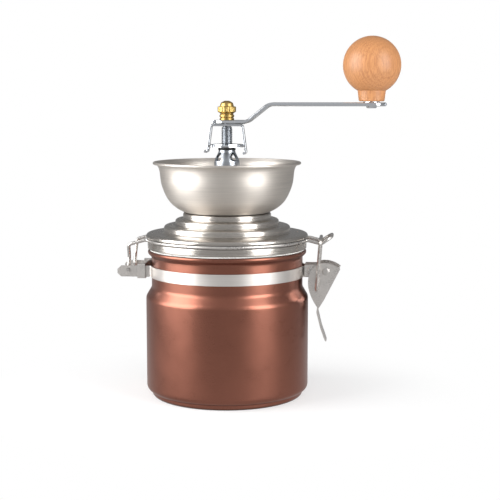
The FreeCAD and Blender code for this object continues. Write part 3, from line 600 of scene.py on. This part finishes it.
@built_once
def beech(s, bsdf, light, dark, centre):
    """Lacquered beech: growth rings as cylinders about an upright pith that stands beside the knob, drawn
    wavy by noise; upright pores; and the short dark flecks of beech's rays."""
    place = s.object_place()
    local = s.vector("SUBTRACT", place, tuple(centre))
    pith = (-0.032, 0.051, 0.0)
    from_pith = s.vector("SUBTRACT", local, pith)
    squeezed = s.vector("MULTIPLY", from_pith, (1.0, 1.0, 0.10))
    wave = s.noise(squeezed, 60.0, 3.0, 0.5)
    x, y, z = s.split(from_pith)
    lean = s.plus(x, s.times(z, 0.03))
    radius = s.hypotenuse(lean, y)
    radius = s.plus(radius, s.times(s.times(z, z), 9.0))
    radius = s.plus(radius, s.times(s.math("SUBTRACT", wave, 0.5), 0.004))
    turn = s.math("FRACT", s.times(radius, 640.0))
    late = s.remap(turn, 0.45, 1.0, 0.0, 1.0)
    soften = s.remap(turn, 0.0, 0.12, 1.0, 0.0)
    ring = s.math("MAXIMUM", late, soften)
    broad = s.noise(s.vector("MULTIPLY", local, (1.0, 1.0, 0.25)), 70.0, 2.0, 0.5)
    fibres = s.noise(s.vector("MULTIPLY", local, (1500.0, 1500.0, 130.0)), 1.0, 3.0, 0.65)
    base = s.mix(s.times(ring, 0.40), tuple(light) + (1,), tuple(dark) + (1,))
    base = s.vary(base, fibres, 0.46, 0.68, 0.55, tinted(dark, 0.80))
    base = s.vary(base, fibres, 0.50, 0.32, 0.45, tinted(light, 1.22))
    base = s.vary(base, broad, 0.35, 0.7, 0.30, tinted(light, 1.10))
    pores = s.noise(s.vector("MULTIPLY", local, (5200.0, 5200.0, 330.0)), 1.0, 2.0, 0.6)
    pore_mask = s.remap(pores, 0.60, 0.72, 0.0, 1.0)
    base = s.mix(s.times(pore_mask, 0.34), base, tinted(dark, 0.62))
    cell = s.add("ShaderNodeTexVoronoi", {"Vector": s.vector("MULTIPLY", local, (1500.0, 1500.0, 420.0)),
                                          "Scale": 1.0, "Randomness": 1.0}, feature="F1")
    fleck = s.remap(cell.outputs["Distance"], 0.13, 0.24, 1.0, 0.0)
    base = s.mix(s.times(fleck, 0.40), base, tinted(dark, 0.55))
    height = s.math("SUBTRACT", s.times(ring, 0.25), pore_mask)
    s.surface(bsdf, base, s.remap(pores, 0.3, 0.75, 0.36, 0.52), s.bump(height, 0.16, GRAIN_DEPTH),
              Coat_Weight=0.08, Coat_Roughness=0.32)


@built_once
def cast_metal(s, bsdf, rgb, roughness):
    """Cast or sintered metal: grainy bump with small pits and rubbed edges."""
    place = s.object_place()
    edge = s.place(group("Edge wear and painted shade"), Width=0.0005, Amount=0.7)
    grain = s.noise(place, 1800.0, 4.0, 0.6)
    pits = s.remap(s.noise(place, 700.0, 2.0, 0.5), 0.62, 0.72, 0.0, 1.0)
    base = s.mix(s.remap(grain, 0.3, 0.7, 0.0, 1.0), tinted(rgb, 0.8), tinted(rgb, 1.25))
    s.surface(bsdf, s.mix(edge["Wear"], base, tinted(rgb, 2.4)),
              s.remap(grain, 0.3, 0.7, roughness - 0.08, roughness + 0.1),
              s.bump(s.math("SUBTRACT", grain, pits), 0.3, 0.0003), Metallic=0.9)


@built_once
def moulded(s, bsdf, rgb, roughness, subsurface=0.0):
    """Moulded nylon or silicone: a fine matt texture with faint handling marks and a little dust."""
    place = s.object_place()
    dust = s.place(group("Edge wear and painted shade"))["Dust"]
    texture = s.noise(place, 3200.0, 3.0, 0.6)
    marks = s.noise(place, 130.0, 3.0, 0.6)
    base = s.mix(s.remap(marks, 0.4, 0.7, 0.0, 0.3), tinted(rgb, 1.0), tinted(rgb, 1.35))
    base = s.mix(s.times(dust, 0.12), base, (0.5, 0.48, 0.45, 1.0))
    s.surface(bsdf, base, s.remap(marks, 0.3, 0.7, roughness - 0.06, roughness + 0.08),
              s.bump(texture, 0.12, GRAIN_DEPTH), Subsurface_Weight=subsurface)


def finishes(scene):
    """All the materials of the grinder by plain name."""
    c = scene.grinder_colours
    knob_centre = sum(edges_of("knob")) / 2 * MM
    return {
        "copper": copper_lacquer("copper_lacquer", c.copper),
        "bowl": turned_metal("brushed_bowl", shade(c.steel, 1.04), 0.50, fineness=7000.0, bump=0.07,
                             anisotropy=0.6),
        "lid": turned_metal("brushed_lid", shade(c.steel, 0.78), 0.26, fineness=8000.0, bump=0.06,
                            contrast=0.09, anisotropy=0.5),
        "band": turned_metal("satin_band", shade(c.strip, 0.84), 0.40, contrast=0.06),
        "strip": sheet_metal("satin_strip", c.strip, 0.30, stretch=(900.0, 9000.0, 5000.0)),
        "wire": sheet_metal("drawn_wire", c.wire, 0.27, stretch=(1200.0, 1200.0, 900.0), bump=0.01,
                            contrast=0.04, patch=0.15, wear=0.0),
        "zinc": sheet_metal("zinc_plate", shade(c.zinc, 0.90), 0.35, stretch=(500.0, 4000.0, 1500.0),
                            bump=0.012, contrast=0.05, patch=0.25, wear=0.1),
        # Painted shade: the shaft takes the zinc colour darkened to about half, so that its thread looks
        # shaded.
        "oiled_steel": turned_metal("oiled_steel", shade(c.zinc, 0.52), 0.36, contrast=0.12),
        "bell": turned_metal("plated_bell", shade(c.zinc, 0.62), 0.30, fineness=6000.0, bump=0.03,
                             contrast=0.08),
        "brass": turned_metal("turned_brass", shade(c.brass, 0.74), 0.38, bump=0.04, contrast=0.12),
        "beech": beech("lacquered_beech", c.beech_light, c.beech_dark, knob_centre),
        "nylon": moulded("black_nylon", c.nylon, 0.5),
        "iron": cast_metal("cast_iron", c.iron, 0.5),
        "bronze": cast_metal("sintered_bronze", (0.42, 0.25, 0.11), 0.4),
        "silicone": moulded("silicone", c.silicone, 0.45, subsurface=0.2),
    }


# ---- pieces -------------------------------------------------------------------------------------
def pressed_outline(rows, steps=10, closed=False):
    """Outline in (radius, z) from rows of (radius, z, corner radius)."""
    rows = np.asarray(rows, float)
    return rounded(rows[:, :2], list(rows[:, 2]), closed, steps)


def canister_outline(sizes):
    """Section of the pressed can, outside upwards and inside down again."""
    base, body_r = bottom_of("canister"), reach_of("canister")
    lip_z = top_of("canister")
    neck_r, wall = sizes.neck_radius / MM, sizes.can_wall / MM
    mouth_r, foot_r, lip_r = neck_r - 0.9, 46.7, 48.7
    lip_inner_r, foot_inner_r = 47.8, 45.9
    outside = [
        (0, base, 0), (foot_r, base, 2.0), (foot_r, 3.2, 0.9), (body_r, 4.6, 3.6), (body_r, 61.8, 5.0),
        (neck_r, 67.6, 4.0), (neck_r, 86.4, 1.4), (lip_r, 88.6, 1.4), (lip_r, lip_z, 0.95),
        (mouth_r, lip_z, 0.3)]
    inside = [
        (mouth_r, lip_z - wall, 0.3), (lip_inner_r, lip_z - wall, 0.4), (lip_inner_r, 89.0, 0.8),
        (neck_r - wall, 86.8, 1.6), (neck_r - wall, 67.9, 3.2), (body_r - wall, 62.1, 5.4),
        (body_r - wall, 5.0, 3.0), (foot_inner_r, 3.8, 1.2), (foot_inner_r, wall, 1.2), (0, wall, 0)]
    return even(pressed_outline(outside + inside), 1.4)


def lid_outline():
    """Section of the stepped lid: steps, sloped flange, wire groove, skirt, and the same sheet's inside."""
    flange_r, low, top = reach_of("lid"), bottom_of("lid"), top_of("lid")
    throat_r, t = 16.0, 1.0
    upper_r, middle_r, lower_r = 27.0, 31.8, 38.8
    upper_z, lower_z = 109.5, 105.6
    groove_r, skirt_r, lining_r = 47.8, 48.8, 46.8
    return even(pressed_outline([
        (throat_r, top, 0.2), (upper_r, top, 1.5), (upper_r, upper_z, 0.5), (middle_r, upper_z, 1.8),
        (middle_r, lower_z, 0.5), (lower_r, lower_z, 2.0), (lower_r, 101.7, 0.8), (flange_r, 100.5, 1.7),
        (flange_r, 98.2, 0.3), (groove_r, 98.2, 0.9), (groove_r, 95.95, 0.9), (skirt_r, 95.95, 0.5),
        (skirt_r, low, 0.35), (47.9, low, 0.35), (47.9, 94.5, 0.2), (lining_r, 94.5, 0.2),
        (lining_r, 99.4, 0.8), (lower_r - t, 100.7, 0.3), (lower_r - t, lower_z - t, 1.0),
        (middle_r - t, lower_z - t, 0.3), (middle_r - t, upper_z - t, 1.0), (upper_r - t, upper_z - t, 0.3),
        (upper_r - t, top - t, 0.6), (throat_r, top - t, 0.2)], steps=6, closed=True), 1.2)


def bowl_outline(sizes):
    """Section of the bowl: floor, belly through eight points, rolled bead, and the belly's inside, which
    is the outside moved by the wall along its normal."""
    floor_z = bottom_of("hopper_bowl")
    wall = sizes.bowl_wall / MM
    bead = np.array([44.5, 143.4])
    bead_r = 0.8
    belly = smooth_curve([(26.0, floor_z), (30.9, 116.1), (35.2, 120.0), (38.3, 125.5), (40.3, 131.5),
                          (41.1, 138.0), (42.1, 141.2), (44.2, 143.4)], 60)
    tangent = unit(np.gradient(belly, axis=0))
    inside = belly + wall * np.stack([-tangent[:, 1], tangent[:, 0]], -1)
    belly = belly[np.linalg.norm(belly - bead, axis=1) > bead_r]
    inside = inside[np.linalg.norm(inside - bead, axis=1) > bead_r]
    start = math.atan2(*(belly[-1] - bead)[::-1])
    end = math.atan2(*(inside[-1] - bead)[::-1]) + TAU
    if end < start:
        end += TAU
    turn = np.linspace(start, end if end - start < TAU else end - TAU, 22)[1:-1]
    roll = bead + bead_r * np.stack([np.cos(turn), np.sin(turn)], -1)
    throat_r, floor_r = 16.0, 25.0
    inside = inside[inside[:, 1] > floor_z + wall]
    return np.concatenate([[(throat_r, floor_z)], belly, roll, inside[::-1],
                           [(floor_r, floor_z + wall), (throat_r, floor_z + wall)]])


def shaft_piece(name, sizes):
    """Shaft with a true helical thread.

    The radius in the threaded length is the root plus the thread's height times a trapezoid wave of
    (z / pitch - angle / one turn), and the wave fades out over the last turn at each end.
    """
    low, high = bottom_of("drive_shaft"), top_of("drive_shaft")
    pitch = sizes.thread_pitch / MM
    spigot, root, crest = 2.4, 2.9, 3.4
    shoulder, start, stop, neck = 86.0, 152.7, 165.3, 165.5
    outline = pressed_outline([
        (0, low, 0), (spigot, low, 0.4), (spigot, shoulder, 0), (root, shoulder, 0), (root, start, 0),
        (root, stop, 0), (spigot, neck, 0), (spigot, high, 0.4), (0, high, 0)])
    outline = np.concatenate([part if index != 1 else even(part, pitch / 14)
                              for index, part in enumerate(split_outline(outline, start, stop))])

    def swell(angle, radius, height):
        wave = np.abs(((height / pitch - angle / TAU) % 1.0) * 2 - 1)
        tooth = np.clip((wave - 0.18) / 0.58, 0, 1)
        fade = np.clip((height - start) / pitch, 0, 1) * np.clip((stop - height) / pitch, 0, 1)
        inside = (height > start) & (height < stop)
        return np.where(inside, root + (crest - root) * tooth * fade, radius)
    return lathe(name, outline, 72, swell)


def split_outline(outline, low, high):
    """An upward outline in three: below, between (with its end points) and above two heights."""
    z = outline[:, 1]
    between = (z >= low - 1e-6) & (z <= high + 1e-6)
    first, last = np.flatnonzero(between)[[0, -1]]
    return outline[:first], outline[first:last + 1], outline[last + 1:]


def dome_nut_piece(name, sizes):
    """Brass nut: two ribs, a fluted band and a dome.

    In the band the radius is less by the groove depth times the cube of |cos(angle x flutes / 2)|,
    which cuts narrow grooves; the depth fades at the band's rounded edges.
    """
    z = bottom_of("dome_nut")
    top = top_of("dome_nut")
    count = sizes.flutes
    bore_r, bore_top, groove_depth = 2.42, 176.8, 0.2
    outline = pressed_outline([
        (bore_r, z, 0), (4.4, z, 0.3), (4.4, z + 1.0, 0.3), (3.9, z + 1.4, 0.15), (4.5, z + 2.1, 0.3),
        (4.5, z + 2.9, 0.3), (3.9, z + 3.5, 0.3), (4.2, z + 4.2, 0.3), (5.6, z + 5.0, 0.4),
        (5.6, z + 8.1, 0.4), (4.3, z + 8.3, 0.1), (3.7, top - 1.2, 1.6), (1.4, top, 2.0), (0, top, 0)], 8)
    outline = even(outline, 0.35)
    low, high = z + 4.8, z + 8.2

    def swell(angle, radius, height):
        inside = np.clip((height - low) / 0.5, 0, 1) * np.clip((high - height) / 0.5, 0, 1)
        groove = np.abs(np.cos(angle * count / 2)) ** 3
        return radius - groove_depth * groove * inside * (radius > 5.0)
    bore = np.array([(0, bore_top), (bore_r, bore_top)])
    return lathe(name, np.concatenate([bore, outline]), count * 12, swell)


def knob_piece(name):
    """Turned ball with a short neck: a circle's arc, a tapered neck with an eased edge, and the bore."""
    low, high = edges_of("knob")
    centre_x = (low[0] + high[0]) / 2
    radius = (high[0] - low[0]) / 2
    ball_z = high[2] - radius
    foot, bore, bore_top = low[2], 4.32, 207.2
    meeting = ball_z - math.sqrt(radius ** 2 - 8.5 ** 2)
    neck = rounded([(bore, foot), (7.7, foot), (8.45, meeting)],
                   [0, 0.9, 0], steps=8)
    start = math.atan2(neck[-1][1] - ball_z, neck[-1][0])
    turn = np.linspace(start, math.pi / 2, 70)
    ball = np.stack([radius * np.cos(turn), ball_z + radius * np.sin(turn)], -1)
    ball[-1, 0] = 0
    bored = [(0, bore_top), (bore, bore_top)]
    outline = np.concatenate([bored, even(neck, 0.8), ball[1:]])
    return lathe(name, outline, 128, centre=(centre_x, 0.0))


def arm_piece(name, sizes):
    """Flat arm bent up and level again, with round ends.

    The half width at distance s from an end is sqrt(r^2 - (r - s)^2) while s is less than r.
    """
    low, high = edges_of("crank_arm")
    t = 2.3
    half = sizes.arm_width / MM / 2
    start_x, end_x = low[0], high[0]
    z0, z1 = low[2] + t / 2, high[2] - t / 2
    bend, low_bend_x, high_bend_x = 6 + t / 2, 12.6, 26.0
    line = rounded([(start_x, z0), (low_bend_x, z0), (high_bend_x, z1), (end_x, z1)],
                   [0, bend, bend, 0], steps=10)
    line = even(line, 1.6)
    run = np.concatenate([[0], np.cumsum(np.linalg.norm(np.diff(line, axis=0), axis=1))])
    near = half * (1 - np.cos(np.linspace(0, math.pi / 2, 16)))
    stations = np.unique(np.concatenate([near, run[(run > half) & (run < run[-1] - half)], run[-1] - near]))
    x, z = (np.interp(stations, run, line[:, k]) for k in (0, 1))
    path = np.stack([x, np.zeros_like(x), z], -1)

    def ends(distance, whole):
        s = np.minimum(np.minimum(distance, whole - distance), half)
        return np.sqrt(np.maximum(half ** 2 - (half - s) ** 2, 0.35 ** 2))
    return strip(name, path, (0, 1, 0), 2 * half, t, bevel=0.75, ends=ends, spacing=50)


def bracket_piece(name):
    """Bent strip over the thread with splayed feet, its edges rounded."""
    low, high = edges_of("lock_bracket")
    t = 1.36
    z = high[2] - t / 2
    line = rounded([(-13.6, 150.5), (-11.7, 150.1), (-9.45, z), (9.45, z), (11.7, 149.4), (10.2, 149.2)],
                   [0, 0.9, 1.4, 1.4, 0.9, 0], steps=8)
    path = np.stack([line[:, 0], np.zeros(len(line)), line[:, 1]], -1)
    return strip(name, path, (0, 1, 0), 6.0, t, bevel=0.3, spacing=0.8)


def spring_piece(name):
    """Compression spring: a round wire carried along a helix of constant radius and rising height."""
    low, high = bottom_of("burr_spring"), top_of("burr_spring")
    wire_r, coil_r, turns = 0.45, 5.2, 3.5
    share = np.linspace(0.0, 1.0, 240)
    angle = TAU * turns * share
    outwards = np.stack([np.cos(angle), np.sin(angle), np.zeros_like(angle)], axis=1)
    path = coil_r * outwards
    path[:, 2] = low + wire_r + (high - low - 2 * wire_r) * share
    return tube(name, path, outwards, wire_r)


# ---- operators ----------------------------------------------------------------------------------
class GRINDER_OT_canister(bpy.types.Operator):
    """Pressed can with its shoulder, neck and rolled lip"""
    bl_idname = "grinder.canister"
    bl_label = "Canister"

    def execute(self, context):
        can = lathe("canister_shell", canister_outline(context.scene.grinder_sizes), ROUND)
        finish_piece(can, "canister", finishes(context.scene)["copper"], "canister")
        return {"FINISHED"}


class GRINDER_OT_neck_band(bpy.types.Operator):
    """Neck band in two halves, hinge bridge, latch plates and their pins"""
    bl_idname = "grinder.neck_band"
    bl_label = "Neck Band"

    def execute(self, context):
        finish = finishes(context.scene)
        finish_nodes(finish["band"], "neck_band_rear", "neck_band_front")
        finish_nodes(finish["strip"], "hinge_bridge", "latch_plate_rear", "latch_plate_front")
        finish_nodes(finish["wire"], "band_rivet", "lever_pin")
        return {"FINISHED"}


class GRINDER_OT_lid(bpy.types.Operator):
    """Stepped lid with its liner and gasket"""
    bl_idname = "grinder.lid"
    bl_label = "Lid"

    def execute(self, context):
        finish = finishes(context.scene)
        lid = lathe("lid_shell", lid_outline(), ROUND, closed=True)
        finish_piece(lid, "lid", finish["lid"], "lid")
        finish_nodes(finish["lid"], "lid_liner")
        finish_nodes(finish["silicone"], "lid_gasket")
        return {"FINISHED"}


class GRINDER_OT_lid_wire(bpy.types.Operator):
    """Wire round the lid, from the hinge to the nose at the latch"""
    bl_idname = "grinder.lid_wire"
    bl_label = "Lid Wire"

    def execute(self, context):
        finish_nodes(finishes(context.scene)["wire"], "lid_wire")
        return {"FINISHED"}


class GRINDER_OT_hopper_bowl(bpy.types.Operator):
    """Hopper bowl with its rolled rim"""
    bl_idname = "grinder.hopper_bowl"
    bl_label = "Hopper Bowl"

    def execute(self, context):
        bowl = lathe("hopper_bowl_shell", bowl_outline(context.scene.grinder_sizes), ROUND, closed=True)
        finish_piece(bowl, "lid", finishes(context.scene)["bowl"], "hopper_bowl")
        return {"FINISHED"}


class GRINDER_OT_bearing_bridge(bpy.types.Operator):
    """Bridge that carries the shaft, its black bush, screws and nuts"""
    bl_idname = "grinder.bearing_bridge"
    bl_label = "Bearing Bridge"

    def execute(self, context):
        finish = finishes(context.scene)
        finish_nodes(finish["bell"], "bearing_bridge")
        finish_nodes(finish["nylon"], "upper_bush")
        finish_nodes(finish["zinc"], "bridge_screws", "screw_nuts")
        return {"FINISHED"}


class GRINDER_OT_adjuster(bpy.types.Operator):
    """Threaded shaft, petalled adjusting nut and the bracket that locks it"""
    bl_idname = "grinder.adjuster"
    bl_label = "Adjuster"

    def execute(self, context):
        finish = finishes(context.scene)
        shaft = shaft_piece("threaded_shaft", context.scene.grinder_sizes)
        # The shaft's darkened zinc colour is painted shade.
        finish_piece(shaft, "crank", finish["oiled_steel"], "drive_shaft")
        finish_nodes(finish["zinc"], "adjusting_nut")
        bracket = bracket_piece("lock_strip")
        finish_piece(bracket, "crank", finish["zinc"], "lock_bracket")
        return {"FINISHED"}


class GRINDER_OT_crank(bpy.types.Operator):
    """Crank arm, brass dome nut and the knob's pin"""
    bl_idname = "grinder.crank"
    bl_label = "Crank"

    def execute(self, context):
        finish = finishes(context.scene)
        arm = arm_piece("crank_strip", context.scene.grinder_sizes)
        finish_piece(arm, "crank", finish["zinc"], "crank_arm")
        nut = dome_nut_piece("fluted_nut", context.scene.grinder_sizes)
        finish_piece(nut, "crank", finish["brass"], "dome_nut")
        finish_nodes(finish["zinc"], "knob_pin")
        return {"FINISHED"}


class GRINDER_OT_knob(bpy.types.Operator):
    """Beech knob and its sleeve"""
    bl_idname = "grinder.knob"
    bl_label = "Knob"

    def execute(self, context):
        finish = finishes(context.scene)
        finish_piece(knob_piece("beech_knob"), "knob", finish["beech"], "knob")
        finish_nodes(finish["wire"], "knob_bush")
        return {"FINISHED"}


class GRINDER_OT_latch(bpy.types.Operator):
    """Latch lever and its wire"""
    bl_idname = "grinder.latch"
    bl_label = "Latch"

    def execute(self, context):
        finish = finishes(context.scene)
        finish_nodes(finish["strip"], "latch_lever")
        finish_nodes(finish["wire"], "latch_wire")
        return {"FINISHED"}


class GRINDER_OT_burrs(bpy.types.Operator):
    """Burrs and what holds them, under the lid"""
    bl_idname = "grinder.burrs"
    bl_label = "Burrs"

    def execute(self, context):
        finish = finishes(context.scene)
        finish_nodes(finish["iron"], "burr_housing", "ring_burr", "cone_burr")
        finish_nodes(finish["bronze"], "lower_bush")
        finish_nodes(finish["zinc"], "burr_washer", "burr_nut")
        spring = spring_piece("burr_coil")
        finish_piece(spring, "lid", finish["zinc"], "burr_spring")
        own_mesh(spring)
        return {"FINISHED"}


# Camera: degrees round and down, and metres back, sideways and up from the origin
VIEW_AZIMUTH, VIEW_DOWN = 5.0, 7.23
VIEW_BACK, VIEW_SIDE, VIEW_HEIGHT = 0.7457, 0.01407, 0.1843
LIGHT_AIM = 0.11
SOFT_BOXES = {
    "left_softbox": {"azimuth": -68, "distance": 0.80, "height": 0.24, "size": (0.80, 1.1), "power": 17.5},
    "right_softbox": {"azimuth": 56, "distance": 0.85, "height": 0.24, "size": (0.46, 1.1), "power": 10},
    "top_softbox": {"azimuth": 0, "distance": 0.25, "height": 1.05, "size": (0.9, 0.9), "power": 0.5},
    "front_fill": {"azimuth": 4, "distance": 1.3, "height": 0.85, "size": (0.7, 0.7), "power": 4,
                   "glossy": False},
}


def soft_box(name, azimuth, distance, height, size, power, glossy=True):
    """Rectangular area light aimed at the object's middle; azimuth 0 is -Y, positive towards +X."""
    light = bpy.data.lights.new(name, "AREA")
    light.shape = "RECTANGLE"
    light.size, light.size_y = size
    light.energy = power
    obj = bpy.data.objects.new(name, light)
    turn = math.radians(azimuth)
    place = Vector((math.sin(turn) * distance, -math.cos(turn) * distance, height))
    obj.location = place
    obj.rotation_euler = (Vector((0, 0, LIGHT_AIM)) - place).to_track_quat("-Z", "Y").to_euler()
    obj.visible_glossy = glossy
    bpy.context.scene.collection.objects.link(obj)


@built_once
def floor_material(s, bsdf, tint):
    """Pale floor: matt near the object, plain white further out, and in reflections a painted glow that dims
    with distance.
    """
    out = s.tree.nodes["Material Output"]
    place = s.object_place()
    x, y, _ = s.split(place)
    radius = s.hypotenuse(x, y)
    # Painted light: in reflections the floor glows, brighter near the object, in place of lamp light falling
    # off.
    glow = s.remap(radius, 0.07, 0.36, 0.55, 0.42)
    seen = s.add("ShaderNodeEmission", {"Color": (1.0, 1.0, 1.0, 1.0), "Strength": glow}).outputs[0]
    bsdf.inputs["Base Color"].default_value = tuple(tint) + (1,)
    bsdf.inputs["Roughness"].default_value = 0.9
    path = s.add("ShaderNodeLightPath").outputs
    white = s.add("ShaderNodeEmission", {"Color": (1.0, 1.0, 1.0, 1.0), "Strength": 1.0}).outputs[0]
    far = s.times(s.remap(radius, 0.06, 0.16, 0.55, 1.0), path["Is Camera Ray"])
    plain = s.add("ShaderNodeMixShader", {0: far, 1: bsdf.outputs[0], 2: white}).outputs[0]
    both = s.add("ShaderNodeMixShader", {0: path["Is Glossy Ray"], 1: plain, 2: seen}).outputs[0]
    s.feed(out.inputs["Surface"], both)


class GRINDER_OT_stage(bpy.types.Operator):
    """Pale floor, white surroundings, soft lights and the camera"""
    bl_idname = "grinder.stage"
    bl_label = "Stage"

    def execute(self, context):
        scene = context.scene
        floor_r, floor_z, sides = 3000, -0.02, 96
        rings = np.linspace(0, 1, 12)[1:] ** 1.5 * floor_r
        angle = np.arange(sides) / sides * TAU
        points = np.stack([rings[:, None] * np.cos(angle), rings[:, None] * np.sin(angle),
                           np.full((len(rings), sides), floor_z)], -1)
        floor = grid_object("floor", points, pole_start=True)
        floor.data.materials.append(floor_material("pale_floor", scene.grinder_colours.floor))
        world = scene.world or bpy.data.worlds.new("surroundings")
        scene.world = world
        world.use_nodes = True
        s = Shader(world.node_tree)
        world.node_tree.nodes.clear()
        seen = s.add("ShaderNodeBackground", {"Color": (1, 1, 1, 1), "Strength": 1.0}).outputs[0]
        toward = s.split(s.add("ShaderNodeTexCoord").outputs["Generated"])[1]
        glow = s.remap(toward, -1.0, 1.0, 0.50, 0.24, curve="LINEAR")
        felt = s.add("ShaderNodeBackground", {"Color": (0.97, 0.98, 1, 1), "Strength": glow}).outputs[0]
        path = s.add("ShaderNodeLightPath").outputs["Is Camera Ray"]
        mixed = s.add("ShaderNodeMixShader", {0: path, 1: felt, 2: seen}).outputs[0]
        s.add("ShaderNodeOutputWorld", {"Surface": mixed})
        for name, light in SOFT_BOXES.items():
            soft_box(name, **light)
        turn = math.radians(VIEW_AZIMUTH)
        back = Vector((math.sin(turn), -math.cos(turn), 0))
        side = Vector((math.cos(turn), math.sin(turn), 0))
        lens = bpy.data.cameras.new("camera")
        lens.sensor_width, lens.lens = 36.0, 87.76
        lens.clip_start, lens.clip_end = 0.01, 20.0
        camera = bpy.data.objects.new("camera", lens)
        camera.location = back * VIEW_BACK + side * VIEW_SIDE + Vector((0, 0, VIEW_HEIGHT))
        camera.rotation_euler = (math.radians(90 - VIEW_DOWN), 0, turn)
        scene.collection.objects.link(camera)
        scene.camera = camera
        scene.view_settings.view_transform = "Standard"
        return {"FINISHED"}


OPERATORS = (GRINDER_OT_canister, GRINDER_OT_neck_band, GRINDER_OT_lid, GRINDER_OT_lid_wire,
             GRINDER_OT_hopper_bowl, GRINDER_OT_bearing_bridge, GRINDER_OT_adjuster, GRINDER_OT_crank,
             GRINDER_OT_knob, GRINDER_OT_latch, GRINDER_OT_burrs, GRINDER_OT_stage)


class GRINDER_PT_panel(bpy.types.Panel):
    """Sizes, colours and one button for each group of pieces"""
    bl_idname = "GRINDER_PT_panel"
    bl_label = "Coffee Grinder"
    bl_space_type = "VIEW_3D"
    bl_region_type = "UI"
    bl_category = "Grinder"

    def draw(self, context):
        for settings in (context.scene.grinder_sizes, context.scene.grinder_colours):
            box = self.layout.box()
            for name in settings.__annotations__:
                box.prop(settings, name)
        for operator in OPERATORS:
            self.layout.operator(operator.bl_idname)


CLASSES = (GrinderSizes, GrinderColours) + OPERATORS + (GRINDER_PT_panel,)


def register():
    for cls in CLASSES:
        bpy.utils.register_class(cls)
    bpy.types.Scene.grinder_sizes = PointerProperty(type=GrinderSizes)
    bpy.types.Scene.grinder_colours = PointerProperty(type=GrinderColours)


def unregister():
    del bpy.types.Scene.grinder_colours
    del bpy.types.Scene.grinder_sizes
    for cls in reversed(CLASSES):
        bpy.utils.unregister_class(cls)


def corners(box):
    return [[float(value) for value in corner] for corner in box]


def main():
    register()
    for operator in OPERATORS:
        group_name, operator_name = operator.bl_idname.split(".")
        getattr(getattr(bpy.ops, group_name), operator_name)()


if __name__ == "__main__":
    main()
